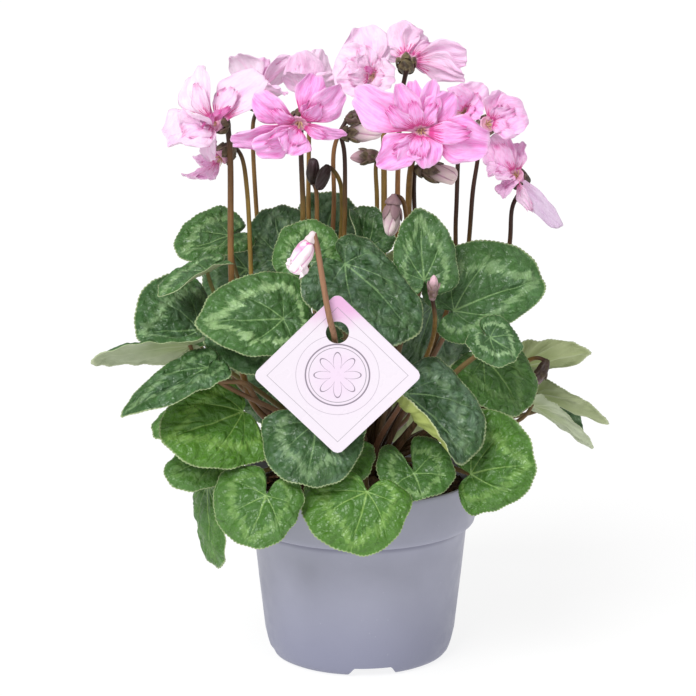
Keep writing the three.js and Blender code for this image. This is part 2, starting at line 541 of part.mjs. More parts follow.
// Tuber, petioles, flower stalks, calyces and dark buds, all grown together
function stemsGeometry() {
  const profile = [[12, TUBER_BOTTOM], [TUBER_RADIUS, SOIL_TOP - 3], [TUBER_RADIUS - 2, SOIL_TOP + 5],
    [9, TUBER_TOP]];
  const rows = profile.map(([r, z]) => [z - TUBER_BOTTOM, r]);
  const bottom = new THREE.Vector3(0, 0, TUBER_BOTTOM);
  const tuber = turned(bottom, new THREE.Vector3(0, 0, 1), rows, 14);
  const parts = [solid(tuber)];
  for (const leaf of LEAVES) {
    parts.push(solid(tube(petioleLine(leaf), PETIOLE_RADIUS, PETIOLE_RADIUS * 0.6, 4)));
  }
  const flowers = [...BLOOMS, ...BUDS];
  flowers.forEach((flower, i) => {
    const isBloom = Boolean(flower.throat);
    const base = isBloom ? v3(flower.throat) : v3(flower.from);
    const away = isBloom ? v3(flower.faces) : v3(flower.to).sub(base);
    away.normalize();
    const below = isBloom ? CUP_DEPTH + GAP : GAP;
    const back = base.addScaledVector(away, -below - CALYX_DEPTH);
    const width = isBloom ? 4.2 : flower.wide * 0.8;
    const bearing = i * 2.4;
    const start = new THREE.Vector3(5 * Math.cos(bearing), 5 * Math.sin(bearing), TUBER_TOP - 5);
    const line = [start, ...flower.stalk.map(v3), back];
    parts.push(solid(tube(line, STALK_RADIUS, STALK_RADIUS * 0.8, 5)));
    parts.push(solid(turned(back, away, [[-1, 1], [CALYX_DEPTH, width]], 6)));
    if (!isBloom && !flower.pink) {
      const longer = { ...flower, from: back.toArray() };
      parts.push(solid(budGeometry(longer)));
    }
  });
  return geometryOf(plain(wasm.Manifold.union(parts)));
}

// Pot: thin wall with a flared rim band, raised floor, notched foot and drain holes
function potGeometry() {
  const r = POT_RIM_RADIUS;
  const h = POT_HEIGHT;
  const floor = FOOT_HEIGHT + POT_WALL;
  const outer = [[42, 0], [44.5, 1.2], [46.2, 4], [48.3, 13], [51.7, 41], [54.2, h - 25.5],
    [57.5, h - 23], [59.3, h - 18], [r, h - 8], [r, h - 0.8], [r - 0.8, h]];
  const inner = [[r - POT_WALL + 0.4, h], [r - POT_WALL, h - 0.8], [r - POT_WALL - 0.6, h - 17],
    [52.2, h - 25], [46.2, 13], [43, floor], [0, floor]];
  const under = [[0, FOOT_HEIGHT], [38.5, FOOT_HEIGHT], [39, 0]];
  const profile = [...under, ...outer, ...inner].map(([x, y]) => new THREE.Vector2(x, y));
  const turnedPot = new THREE.LatheGeometry(profile, 32);
  turnedPot.rotateX(Math.PI / 2);
  let body = solid(turnedPot);
  for (let i = 0; i < FOOT_NOTCHES; i += 1) {
    const angle = -Math.PI / 2 + 0.14 + (i * 2 * Math.PI) / FOOT_NOTCHES;
    const box = new THREE.BoxGeometry(14, FOOT_NOTCH_WIDTH, 2 * FOOT_HEIGHT - 0.8);
    box.translate(42, 0, 0);
    box.rotateZ(angle);
    body = body.subtract(solid(box));
    const drain = new THREE.CylinderGeometry(DRAIN_RADIUS, DRAIN_RADIUS, 8, 8);
    drain.rotateX(Math.PI / 2);
    drain.translate(31, 0, FOOT_HEIGHT + 1);
    drain.rotateZ(angle);
    body = body.subtract(solid(drain));
  }
  return geometryOf(body);
}

// Small draws that are the same in every run
function randomFrom(seed) {
  let state = seed;
  return () => {
    state = (state * 1664525 + 1013904223) % 4294967296;
    return state / 4294967296;
  };
}

// Peat: fills the pot to below the rim, with a hole that the tuber sits in
function soilGeometry() {
  const bottom = FOOT_HEIGHT + POT_WALL + GAP;
  const outer = [[0, bottom], [42.4, bottom], [45.6, 13], [51.5, POT_HEIGHT - 25.4],
    [56.6, POT_HEIGHT - 17.5], [56.8, SOIL_TOP - 1], [50, SOIL_TOP], [38, SOIL_TOP], [28, SOIL_TOP]];
  const inner = [[TUBER_RADIUS + 0.8, SOIL_TOP], [TUBER_RADIUS + 0.5, SOIL_TOP - 3.2],
    [12.4, TUBER_BOTTOM - GAP], [0, TUBER_BOTTOM - GAP]];
  const profile = [...outer, ...inner].map(([x, y]) => new THREE.Vector2(x, y));
  const geometry = new THREE.LatheGeometry(profile, 22);
  geometry.rotateX(Math.PI / 2);
  const welded = weldedFrom(geometry);
  const draw = randomFrom(7);
  const position = welded.getAttribute("position");
  for (let i = 0; i < position.count; i += 1) {
    const radius = Math.hypot(position.getX(i), position.getY(i));
    const bump = 2.4 * draw() - 1.2;
    if (radius > 24 && radius < 52 && position.getZ(i) > SOIL_TOP - 0.5) {
      position.setZ(i, position.getZ(i) + bump);
    }
  }
  return geometryOf(solid(welded));
}

// Square card hung on a corner, with a round hole that the front stalk runs through
const LABEL_CENTRE = seen(337.5, 375, -91);
const LABEL_LEAN = -4;

function labelGeometry() {
  const half = LABEL_SIDE / 2;
  const inner = half - LABEL_CORNER;
  const shape = new THREE.Shape();
  shape.moveTo(half, inner);
  shape.absarc(inner, inner, LABEL_CORNER, 0, Math.PI / 2);
  shape.absarc(-inner, inner, LABEL_CORNER, Math.PI / 2, Math.PI);
  shape.absarc(-inner, -inner, LABEL_CORNER, Math.PI, 1.5 * Math.PI);
  shape.absarc(inner, -inner, LABEL_CORNER, 1.5 * Math.PI, 2 * Math.PI);
  const hole = new THREE.Path();
  hole.absarc(half - LABEL_HOLE_INSET, half - LABEL_HOLE_INSET, LABEL_HOLE_RADIUS, 0, 2 * Math.PI, true);
  shape.holes.push(hole);
  const sheet = { depth: LABEL_THICKNESS, bevelEnabled: false, curveSegments: 4 };
  const geometry = new THREE.ExtrudeGeometry(shape, sheet);
  geometry.translate(0, 0, -LABEL_THICKNESS / 2);
  geometry.rotateZ(Math.PI / 4);
  geometry.rotateX(Math.PI / 2 - THREE.MathUtils.degToRad(LABEL_LEAN));
  geometry.translate(...LABEL_CENTRE);
  return geometryOf(solid(geometry));
}

const group = new THREE.Group();
group.name = "potted_cyclamen";

// Adds a named piece with a material of its own
function addPiece(name, geometry, colour, roughness) {
  const material = new THREE.MeshStandardMaterial({ color: colour, roughness, metalness: 0 });
  material.name = name;
  const mesh = new THREE.Mesh(geometry, material);
  mesh.name = name;
  group.add(mesh);
}

addPiece("pot", potGeometry(), 0x9fa2b4, 0.55);
addPiece("soil", soilGeometry(), 0x3a2a1e, 0.95);
addPiece("stems", stemsGeometry(), 0x6b4a30, 0.5);
addPiece("label", labelGeometry(), 0xf4e6f2, 0.6);
for (const leaf of LEAVES) {
  addPiece(leaf.name, geometryOf(solid(bladeGeometry(leaf))), 0x3f6e35, 0.5);
}
for (const bloom of BLOOMS) {
  addPiece(bloom.name, bloomGeometry(bloom), 0xf0b0e4, 0.6);
}
for (const bud of BUDS.filter((b) => b.pink)) {
  addPiece(bud.name, budGeometry(bud), 0xf0c0d8, 0.6);
}

export default group;
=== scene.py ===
"""Looks of the potted cyclamen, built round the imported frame.

Shapes are worked out in millimetres, in the CAD frame, and turned to metres when a mesh is made.
"""

import math

import bpy
import numpy as np
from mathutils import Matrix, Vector


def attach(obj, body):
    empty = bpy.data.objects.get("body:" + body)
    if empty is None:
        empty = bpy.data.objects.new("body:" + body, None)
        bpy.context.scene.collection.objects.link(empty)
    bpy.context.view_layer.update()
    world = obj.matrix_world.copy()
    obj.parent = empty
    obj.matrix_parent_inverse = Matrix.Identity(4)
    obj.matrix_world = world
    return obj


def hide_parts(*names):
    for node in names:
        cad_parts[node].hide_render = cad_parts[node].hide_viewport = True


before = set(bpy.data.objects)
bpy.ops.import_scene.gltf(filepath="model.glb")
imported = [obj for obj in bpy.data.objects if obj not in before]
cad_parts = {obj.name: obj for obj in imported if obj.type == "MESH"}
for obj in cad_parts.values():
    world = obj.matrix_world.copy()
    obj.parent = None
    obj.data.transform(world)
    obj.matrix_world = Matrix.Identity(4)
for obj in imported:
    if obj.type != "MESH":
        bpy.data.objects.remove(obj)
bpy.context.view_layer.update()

# Sizes shared with the CAD source, in mm
POT_RIM_RADIUS = 60
POT_HEIGHT = 93.5
POT_WALL = 2
FOOT_HEIGHT = 5
FOOT_NOTCH_WIDTH = 22
FOOT_NOTCHES = 4
DRAIN_RADIUS = 4
SOIL_TOP = 84
TUBER_RADIUS = 19
TUBER_TOP = 96
TUBER_BOTTOM = 73
GAP = 0.35
BLADE_THICKNESS = 0.9
PETIOLE_RADIUS = 1.6
PETIOLE_GAP = 0.6
STALK_RADIUS = 1.6
CUP_DEPTH = 5
CALYX_DEPTH = 4
LABEL_SIDE = 56.5
LABEL_THICKNESS = 0.8
LABEL_CORNER = 3.5
LABEL_HOLE_RADIUS = 5.4
LABEL_HOLE_INSET = 13.6
LABEL_LEAN = -4

# The photo's viewpoint, worked out from the pot's rim and foot in it
EYE = (-6, -1363, 474.5)
PITCH = math.radians(13.1)
FOCAL = 2800
PHOTO_SIDE = 696
CENTRE = PHOTO_SIDE / 2

# Where each piece's random draws start, and the range of a random phase
LEAF_SEED, BLOOM_SEED, BUD_SEED, STEM_SEED, PEAT_SEED = 100, 300, 40, 7, 11
TURN = 6.28


def seen(px, py, depth):
    """The point seen at a pixel, at a depth given as its y in the frame."""
    a = (px - CENTRE) / FOCAL
    b = (CENTRE - py) / FOCAL
    dy = math.cos(PITCH) + b * math.sin(PITCH)
    dz = -math.sin(PITCH) + b * math.cos(PITCH)
    t = (depth - EYE[1]) / dy
    return np.array([EYE[0] + a * t, depth, EYE[2] + dz * t])


LABEL_CENTRE = seen(337.5, 375, -91)

# Leaf blades. root: where the petiole meets the blade; face: upper side's direction.
# wide: left, right and back reach from the root, in mm, looking from the root to the tip.
# fold and curl: degrees, left and right; ends: curl of tip and back; wave: height in mm, phase.
LEAF_FIELDS = ("name", "root", "tip", "face", "wide", "fold", "curl", "ends", "wave")
# Each side's leaves in the order of their numbers, root and tip as pixels of the photo with a depth
SEEN_LEAVES = {
    "left": [
        ((230, 236, -2), (173, 250, -14), (-3, -5, 8), (13, 20, 11), (5, 5), (-20, 20), (-20, 0), (1.5, 0)),
        ((207, 271, -42), (160, 292, -54), (-4, -4, 8), (8, 14, 13), (15, 5), (40, 0), (-10, 0), (1, 1)),
        ((200, 330, -38), (132, 330, -50), (-5, -7, 4.5), (10, 33, 8), (5, 5), (0, -20), (-15, 0), (1.5, 2)),
        ((190, 345, -62), (91, 352, -78), (0, 8, 6), (13, 12, 6), (0, 0), (-50, 0), (-10, 0), (1, 0)),
        ((208, 368, -72), (122, 409, -90), (-3, -4, 8.5), (17, 12, 8), (25, 25), (-40, 10), (-10, 0), (1, 0)),
        ((206, 402, -36), (146, 431, -48), (-5, -5, 7), (15, 15, 8), (0, 0), (-10, -10), (-20, 0), (1, 1)),
        ((243, 412, -62), (158, 438, -85), (-2, -7, 6.5), (26, 22, 4), (-10, 15), (-15, 0), (-15, 10), (2.5, 0)),
        ((216, 454, -56), (162, 477, -70), (-4, -8, 5), (16, 12, 5), (0, 0), (-10, -10), (-15, 0), (1, 0)),
        ((208, 484, -48), (202, 576, -62), (-8, -4, 4.5), (13, 17, 6), (0, 0), (-10, -10), (-30, 0), (1.5, 1)),
    ],
    "front": [
        ((283, 319, -64), (200, 319, -76), (-1, -8, 6), (20, 25, 12), (5, 8), (-10, -15), (-15, 0), (1.2, 0)),
        ((276, 336, -48), (199, 333, -60), (-1, -7, 7), (22, 16, 10), (0, 0), (-10, 0), (-15, 0), (1, 0)),
        ((286, 260, -6), (268, 200, 4), (-2, -9, 4), (18, 18, 8), (5, 5), (-10, -10), (-20, 0), (1.2, 2)),
        ((308, 262, -42), (306, 216, -34), (0, -9, 4), (17, 17, 8), (5, 5), (-10, -10), (-15, 0), (1, 1)),
        ((345, 264, -58), (426, 334, -76), (1, -8, 6), (15, 24, 10), (5, 5), (-15, -10), (-20, 0), (1.5, 0)),
        ((367, 247, -14), (354, 204, -8), (2, -5, 8), (13, 15, 8), (35, 35), (20, 20), (-10, 20), (1, 0)),
        ((424, 280, -52), (420, 209, -46), (1, -9, 4), (15, 17, 7), (12, 12), (-20, -20), (-15, 0), (1, 2)),
        ((316, 424, -74), (306, 487, -98), (0, -7, 7), (24, 26, 7), (0, 0), (-15, -15), (-20, 0), (1.5, 1)),
        ((334, 446, -60), (334, 489, -81), (0, -7, 7), (20, 20, 5), (0, 0), (-10, -10), (-20, 0), (1, 0)),
        ((367, 492, -83), (348, 557, -100), (0, -7, 7), (22, 31, 8), (5, 5), (-15, -20), (-15, 0), (1.5, 2)),
        ((414, 474, -70), (424, 499, -81), (1, -8, 6), (20, 17, 19), (0, 0), (0, 0), (-20, 15), (1.5, 1)),
        ((266, 496, -88), (244, 549, -102), (-1, -7, 7), (18, 26, 13), (0, 0), (-15, -15), (-15, 0), (1.2, 0)),
    ],
    "right": [
        ((454, 311, -42), (552, 271, -34), (2, -8, 5.5), (31, 17, 11), (10, 10), (-15, -20), (-15, 0), (1.5, 0)),
        ((490, 338, -62), (520, 358, -68), (3, -7, 6), (13, 14, 9), (10, 10), (-10, -10), (-15, 0), (0.8, 1)),
        ((484, 358, -26), (531, 412, -40), (3.5, -7.5, 5.5), (21, 22, 7), (5, 5), (-10, -10), (-15, 0), (1.2, 2)),
        ((405, 394, -62), (481, 458, -80), (2, -8, 5.5), (27, 25, 8), (5, 10), (-15, 110), (-15, 0), (1, 0)),
        ((471, 474, -60), (538, 460, -71), (3, -8, 5), (33, 20, 8), (0, 0), (-10, -15), (-20, 0), (1.5, 1)),
        ((520, 366, 4), (587, 349, 10), (-1, 8, 6), (18, 15, 6), (10, 10), (20, 0), (-10, 0), (1, 0)),
        ((536, 392, 14), (603, 432, 26), (3, 6, 7), (9, 11, 12), (15, 15), (20, 20), (15, 0), (0.8, 0)),
        ((556, 400, 34), (592, 426, 38), (3, -4, 8), (9, 9, 3), (0, 0), (0, 0), (-20, 0), (0.8, 1)),
        ((532, 404, 0), (593, 441, 8), (2, 6, 7), (7, 8, 5), (10, 10), (20, 20), (-10, 0), (0.5, 0)),
    ],
}
# Leaves on the far side, guessed: root and tip in mm, face, side and back reach, curl, and wave
REAR_LEAVES = [
    ((-57, 22, 193), (-79, 23, 176), (1, -8, 5), 22, 11, -15, (1.5, 0)),
    ((-26, 42, 200), (-56, 78, 188), (-2, 3, 8), 25, 11, -20, (1.5, 1)),
    ((4, 50, 180), (6, 105.5, 160), (0, 4, 8), 27, 12, -20, (1.5, 2)),
    ((34, 42, 196), (64, 76, 182), (2, 3, 8), 25, 11, -20, (1.5, 0)),
    ((37, 28, 173), (46, 37, 144), (0, -5, 6), 24, 11, -15, (1.2, 1)),
    ((-66, 28, 138), (-98, 46, 114), (-5, 3, 8), 24, 10, -20, (1.5, 2)),
    ((-45, 49, 125), (-59, 43, 110), (-2, -6, 6), 22, 10, -15, (1.5, 0)),
    ((25, 55, 113), (24, 65, 91), (0, -2, 8), 21, 10, -15, (1.5, 1)),
    ((44, 60, 138), (66, 90, 114), (3, 6, 8), 26, 10, -20, (1.5, 2)),
    ((-17, 12, 209), (-13, 4, 236), (-1, -6, 5), 20, 9, -15, (1.2, 0)),
]
LEAVES = [dict(zip(LEAF_FIELDS, (f"{side}_{number}", seen(*root), seen(*tip), *rest)))
          for side, rows in SEEN_LEAVES.items() for number, (root, tip, *rest) in enumerate(rows, 1)]
for number, (root, tip, face, side, back, curl, wave) in enumerate(REAR_LEAVES, 1):
    shape = (face, (side, side, back), (5, 5), (curl, curl), (curl, 0), wave)
    row = (f"rear_{number}", np.array(root, float), np.array(tip, float), *shape)
    LEAVES.append(dict(zip(LEAF_FIELDS, row)))
# Points that a petiole bends through
BENDS = {"left_5": [seen(260, 404, -48), seen(243, 383, -66)], "front_1": [seen(306, 350, -46)],
         "front_4": [seen(320, 330, -24)], "front_8": [(-16, -46, 134)], "right_2": [seen(452, 376, -46)]}

# Blooms: the throat, where it faces, the petals' tips with width in mm and roll in degrees,
# and the stalk's points above the tuber
BLOOM_TABLE = [
    ((214, 124, -38), (-6, -7, 1), [(194, 70, -22, 21), (262, 80, -26, 25), (182, 112, -52, 16), (168, 146, -54, 27),
                                    (214, 160, -50, 14, 20)],
     [(257, 409, -44), (241, 365, -40), (232, 290, -30), (230, 150, -28)]),
    ((220, 158, -24), (-7, -3, -6), [(184, 177, -32, 14), (194, 162, -18, 12), (208, 179, -22, 10),
                                     (214, 142, -14, 10)],
     [(256, 340, -28), (252, 290, -24), (247, 190, -18), (242, 158, -16)]),
    ((257, 96, 14), (0, 6, 6), [(236, 54, 14, 15), (263, 58, 24, 17), (297, 63, 22, 16), (284, 92, 2, 13)],
     [(262, 300, 6), (259, 250, 12), (253, 125, 13)]),
    ((299, 124, -48), (-1, -8, -4), [(256, 97, -52, 15), (232, 141, -48, 14), (256, 152, -58, 16),
                                     (284, 154, -60, 18), (316, 76, -42, 14), (341, 90, -46, 17), (345, 134, -50, 9)],
     [(304, 290, -20), (303, 205, -30), (301, 150, -36)]),
    ((309, 100, 4), (0, 7, 6), [(298, 52, 6, 16), (322, 50, 10, 14), (336, 76, 0, 10), (286, 72, 0, 10)],
     [(312, 290, -2), (309, 130, 4)]),
    ((373, 76, -16), (-1, -8, 2), [(337, 58, -14, 20), (364, 28, -8, 18), (338, 84, -22, 15), (386, 46, -12, 9),
                                   (392, 78, -26, 15)],
     [(382, 300, -12), (384, 170, -8), (382, 110, -6)]),
    ((406, 60, 14), (0, 9, 4), [(397, 22, 20, 16), (428, 36, 24, 21), (466, 60, 14, 17), (462, 78, 6, 14),
                                (380, 52, 18, 10)],
     [(394, 300, -4), (398, 170, 6), (401, 100, 8)]),
    ((421, 131, -60), (0, -9, -1), [(398, 84, -64, 15), (412, 82, -58, 14), (434, 82, -62, 15), (452, 94, -60, 16),
                                    (356, 94, -58, 20), (489, 142, -64, 23), (378, 164, -66, 17), (400, 163, -68, 12),
                                    (430, 166, -68, 16)],
     [(404, 300, -14), (408, 235, -14), (410, 175, -28)]),
    ((464, 112, -10), (0, -8, 4), [(482, 84, -10, 15), (454, 88, -18, 14), (484, 112, -18, 14), (468, 86, -2, 17)],
     [(450, 300, -4), (456, 215, -4), (459, 145, -4)]),
    ((488, 124, -20), (4, -7, 4), [(503, 92, -16, 16), (526, 110, -18, 20), (520, 130, -24, 14)],
     [(462, 300, -6), (469, 240, -6), (473, 190, -8), (478, 156, -9)]),
    ((516, 176, -14), (-4, -5, 5), [(490, 136, -12, 16), (520, 143, -8, 14), (488, 176, -24, 15), (503, 196, -26, 12),
                                    (558, 226, -24, 12)],
     [(500, 320, -10), (510, 240, -12), (513, 205, -12)]),
]
BLOOMS = [dict(name=f"bloom_{number}", throat=seen(*throat), faces=faces, stalk=[seen(*spot) for spot in stalk],
               petals=[(seen(x, y, depth), width, sum(roll)) for x, y, depth, width, *roll in petals])
          for number, (throat, faces, petals, stalk) in enumerate(BLOOM_TABLE, 1)]

# Buds: the two ends, the radius in mm, and the stalk's points
BUD_TABLE = [
    ((349, 134, -26), (382, 132, -28), 4.6, [(344, 300, -12), (345, 200, -18), (344, 150, -22)]),
    ((424, 170, -30), (457, 177, -34), 5, [(412, 300, -14), (415, 240, -16), (414, 185, -22)]),
    ((393, 205, -34), (390, 236, -36), 4.6, [(396, 310, -18), (405, 250, -22), (406, 215, -27), (401, 198, -32)]),
    ((309, 242, -96.5), (293, 273, -96.5), 5, [
        (352, 445, -22), (345, 400, -46), (338, 364, -72), (335.5, 347, -82.5), (334.3, 337, -88.5),
        (332.8, 330, -93), (330.2, 321, -96.4), (326, 300, -96.8), (320, 264, -96.8), (317, 246, -96.6)]),
    ((355, 118, 2), (377, 112, 2), 4.4, [(332, 300, 0), (334, 200, 0), (334, 150, 0), (339, 134, 0)]),
    ((370, 156, 4), (350, 158, 4), 4, [(376, 300, 2), (377, 200, 4), (376, 165, 4)]),
    ((313, 174, -12), (313, 158, -12), 3.6, [(320, 300, -16), (317, 230, -16), (316, 190, -14)]),
    ((324, 175, -20), (318, 190, -21), 3.4, [(338, 300, -6), (342, 215, -10), (340, 182, -14), (332, 169, -17)]),
    ((433, 290, -66), (434, 275, -68), 2.8, [(424, 362, -30), (435, 322, -56)]),
    ((543, 369, -12), (535, 386, -13), 3.2, [(470, 420, -8), (519, 378, -8), (528, 361, -9), (538, 358, -11)]),
]
# How many of the buds, from the first, have a petal body of their own, and which of them is opening
PINK_BUDS = 4
OPENING_BUD = "bud_4"
BUDS = [dict(name=f"bud_{number}", base=seen(*base), to=seen(*to), wide=wide, stalk=[seen(*spot) for spot in stalk],
             pink=number <= PINK_BUDS)
        for number, (base, to, wide, stalk) in enumerate(BUD_TABLE, 1)]


def unit(a):
    """A vector scaled to length 1."""
    a = np.asarray(a, float)
    return a / np.linalg.norm(a)


def turn_about(vector, axis, degrees):
    """A vector turned about a unit axis."""
    angle = math.radians(degrees)
    flat = np.cross(axis, vector)
    return vector * math.cos(angle) + flat * math.sin(angle) + axis * (axis @ vector) * (1 - math.cos(angle))


def square_to(axis):
    """Two unit vectors square to a unit axis and to each other."""
    spare = np.array([0, 0, 1.0] if abs(axis[2]) < 0.9 else [1.0, 0, 0])
    u = unit(np.cross(spare, axis))
    return u, np.cross(axis, u)


def bearings(count):
    """Angles evenly spaced round a circle."""
    return np.arange(count) * 2 * math.pi / count


def soft_step(x, low, high):
    """0 below low, 1 above high, smooth between."""
    t = np.clip((x - low) / (high - low), 0, 1)
    return t * t * (3 - 2 * t)


def curve_points(keys, places):
    """Points of a centripetal Catmull-Rom curve through keys, at places from 0 to 1."""
    keys = np.asarray(keys, float)
    count = len(keys)
    ends = np.vstack([2 * keys[0] - keys[1], keys, 2 * keys[-1] - keys[-2]])
    spot = np.clip(np.asarray(places, float), 0, 1) * (count - 1)
    i = np.minimum(spot.astype(int), count - 2)
    w = (spot - i)[:, None]
    p0, p1, p2, p3 = (ends[i + k] for k in range(4))
    d0, d1, d2 = (np.maximum(np.linalg.norm(b - a, axis=1), 1e-8)[:, None] ** 0.5
                  for a, b in ((p0, p1), (p1, p2), (p2, p3)))
    t1 = ((p1 - p0) / d0 - (p2 - p0) / (d0 + d1) + (p2 - p1) / d1) * d1
    t2 = ((p2 - p1) / d1 - (p3 - p1) / (d1 + d2) + (p3 - p2) / d2) * d1
    c2 = -3 * p1 + 3 * p2 - 2 * t1 - t2
    c3 = 2 * p1 - 2 * p2 + t1 + t2
    return p1 + t1 * w + c2 * w**2 + c3 * w**3


def smooth_rows(rows, count):
    """More rows on a smooth line through a few."""
    return curve_points(rows, np.linspace(0, 1, count))


def bezier_points(p0, p1, p2, p3, count):
    """Points of a cubic Bezier curve."""
    t = np.linspace(0, 1, count)[:, None]
    return (1 - t) ** 3 * p0 + 3 * (1 - t) ** 2 * t * p1 + 3 * (1 - t) * t**2 * p2 + t**3 * p3


def placed(name, data):
    """An object in the scene that holds a mesh, a light or a camera."""
    made = bpy.data.objects.new(name, data)
    bpy.context.scene.collection.objects.link(made)
    return made


class Shape:
    """Gathers points, faces, face materials and named values for one mesh."""

    def __init__(self, *values):
        self.points, self.faces, self.kinds, self.count = [], [], [], 0
        self.values = {name: [] for name in values}

    def add(self, points, faces, own=(), kind=0, **values):
        """Adds a part with its own values and more: each is a number or one number for each point."""
        points = np.asarray(points, float).reshape(-1, 3)
        values = dict(own, **values)
        self.points.append(points)
        self.faces += [[v + self.count for v in face] for face in faces]
        self.kinds += [kind] * len(faces)
        for name, held in self.values.items():
            held.append(np.broadcast_to(np.asarray(values.get(name, 0.0), float).ravel(), (len(points),)))
        self.count += len(points)

    def piece(self, name, materials, nodes, slot, crease=None):
        """Makes the object, riding on the one body in place of its CAD nodes. crease: sharp edges, in degrees."""
        mesh = bpy.data.meshes.new(name)
        mesh.from_pydata((np.vstack(self.points) / 1000).tolist(), [], self.faces)
        for material in materials:
            mesh.materials.append(material)
        mesh.polygons.foreach_set("material_index", self.kinds)
        mesh.polygons.foreach_set("use_smooth", [True] * len(mesh.polygons))
        for label, held in self.values.items():
            layer = mesh.attributes.new(label, "FLOAT", "POINT")
            layer.data.foreach_set("value", np.concatenate(held).astype(np.float32))
        mesh.update()
        if crease:
            mesh.set_sharp_from_angle(angle=math.radians(crease))
        made = placed(name, mesh)
        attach(made, "root")
        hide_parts(*nodes)
        return made


def grid_faces(rows, columns, start=0, wrap=False, flip=False):
    """Quads of a grid whose points run along the columns first."""
    faces = []
    for r in range(rows - 1):
        for c in range(columns if wrap else columns - 1):
            a = start + r * columns + c
            b = start + r * columns + (c + 1) % columns
            quad = [a, b, b + columns, a + columns]
            faces.append(quad[::-1] if flip else quad)
    return faces


def drum_faces(rows, sides):
    """Faces of a stack of rings, closed flat at both ends."""
    last = (rows - 1) * sides
    return grid_faces(rows, sides, wrap=True) + [list(range(sides))[::-1], list(range(last, last + sides))]


def sheet_faces(steps, columns):
    """Faces of a thin sheet: its upper grid of points, its lower one, and the edge between them."""
    count = steps * columns
    rim = list(range(columns))
    rim += [r * columns + columns - 1 for r in range(1, steps)]
    rim += [(steps - 1) * columns + c for c in range(columns - 2, -1, -1)]
    rim += [r * columns for r in range(steps - 2, 0, -1)]
    faces = grid_faces(steps, columns, flip=True) + grid_faces(steps, columns, count)
    return faces + [[a, b, b + count, a + count] for a, b in zip(rim, rim[1:] + rim[:1])]


def upright_part(rows, sides):
    """Points and faces of a turned body on the vertical axis: rows of radius and height."""
    ring = np.stack([np.cos(bearings(sides)), np.sin(bearings(sides))], 1)
    return np.vstack([np.column_stack([ring * x, np.full(sides, z)]) for x, z in rows]), drum_faces(len(rows), sides)


def tube_part(points, radii, sides):
    """A round tube along points, closed at both ends: its points, its faces and the place along it."""
    points = np.asarray(points, float)
    count = len(points)
    ring = []
    normal = np.array([1, 0.2, 0.0])
    angles = bearings(sides)
    for i in range(count):
        along = unit(points[min(i + 1, count - 1)] - points[max(i - 1, 0)])
        normal = unit(normal - along * (normal @ along))
        circle = np.outer(np.cos(angles), normal) + np.outer(np.sin(angles), np.cross(along, normal))
        ring.append(points[i] + radii[i] * circle)
    return np.vstack(ring), drum_faces(count, sides), {"place": np.repeat(np.linspace(0, 1, count), sides)}


def turned_part(start, axis, rows, sides, ridges=None):
    """A turned body on a line: rows of distance and radius. ridges(angle, share) scales the radius."""
    axis = unit(axis)
    u, w = square_to(axis)
    angles = bearings(sides)
    places = np.linspace(0, 1, len(rows))
    points = []
    for (distance, radius), place in zip(rows, places):
        scale = np.ones(sides) if ridges is None else ridges(angles, place)
        circle = np.outer(np.cos(angles) * scale, u) + np.outer(np.sin(angles) * scale, w)
        points.append(start + distance * axis + radius * circle)
    return np.vstack(points), drum_faces(len(rows), sides), {"place": np.repeat(places, sides)}


# Leaf blades

# Heart-shaped outline, from the tip round one side to the slit at the root
OUTLINE = [(0.99, 0), (0.93, 0.33), (0.76, 0.67), (0.45, 0.92), (0.03, 1.01), (-0.45, 0.95), (-0.88, 0.7),
           (-1, 0.3), (-0.08, 0)]
ROUND_TIP = [(0.93, 0), (0.895, 0.33)]
OUTLINE_SAMPLES = 400
# Rings of points from the root to the edge, above and below
RINGS = (0.05, 0.11, 0.17, 0.23, 0.29, 0.35, 0.41, 0.47, 0.53, 0.585, 0.64, 0.69, 0.74, 0.79, 0.84, 0.89, 0.93,
         0.965, 0.985, 1.0)
UNDER_RINGS = (0.08, 0.25, 0.42, 0.58, 0.72, 0.82, 0.89, 0.93, 0.965, 1.0)
TOOTH_PITCH = 2.0
TOOTH_HEIGHT = 0.48
TOOTH_STEPS = 3
LEAST_TEETH = 20
# Half thickness of a blade in mm: at its middle, less at its edge, and more below its middle
BLADE_HALF, EDGE_THINNING, UNDER_SWELL = 0.3, 0.15, 0.45
# Heights in mm of the swelling between veins, a full pucker, the vein grooves and the drift of the surface
SWELL, PUCKER, VEIN_GROOVE, DRIFT = 1.1, 0.5, 0.22, 0.55
# How much wider than a vein's colour the surface sinks towards it
VEIN_VALLEY = 4.5
# Ends of the main veins, as shares of the way from the tip to the slit
VEIN_ENDS = (0.24, 0.5, 0.78)
# How deeply the puckered blades are puckered; the others lie smoother
PUCKERED = {"front_5": 0.9, "left_7": 0.45, "left_6": 0.5, "right_4": 0.75, "left_3": 0.6, "right_3": 0.8,
            "right_5": 0.7, "front_3": 0.8, "left_1": 0.6, "left_5": 0.6}
LEAST_PUCKER = 0.35
# Blades whose tip is a point; the others have round tips
POINTED = ("front_1", "front_7", "left_2", "left_4", "left_5", "right_6", "right_7", "right_9")
# How much longer, and wider to the left, right and back, the blades spread that screen gaps between stems
GROWN = {"front_1": (1, 1, 1, 1.22), "front_2": (1, 1, 1, 3.4), "front_5": (1, 1.2, 1.16, 1.1),
         "rear_5": (1.35, 1.35, 1.35, 1)}
# Half widths of the slits that aren't open, as shares of the blade's
CLOSED_SLITS = {"front_1": 0.04, "front_2": 0.04}
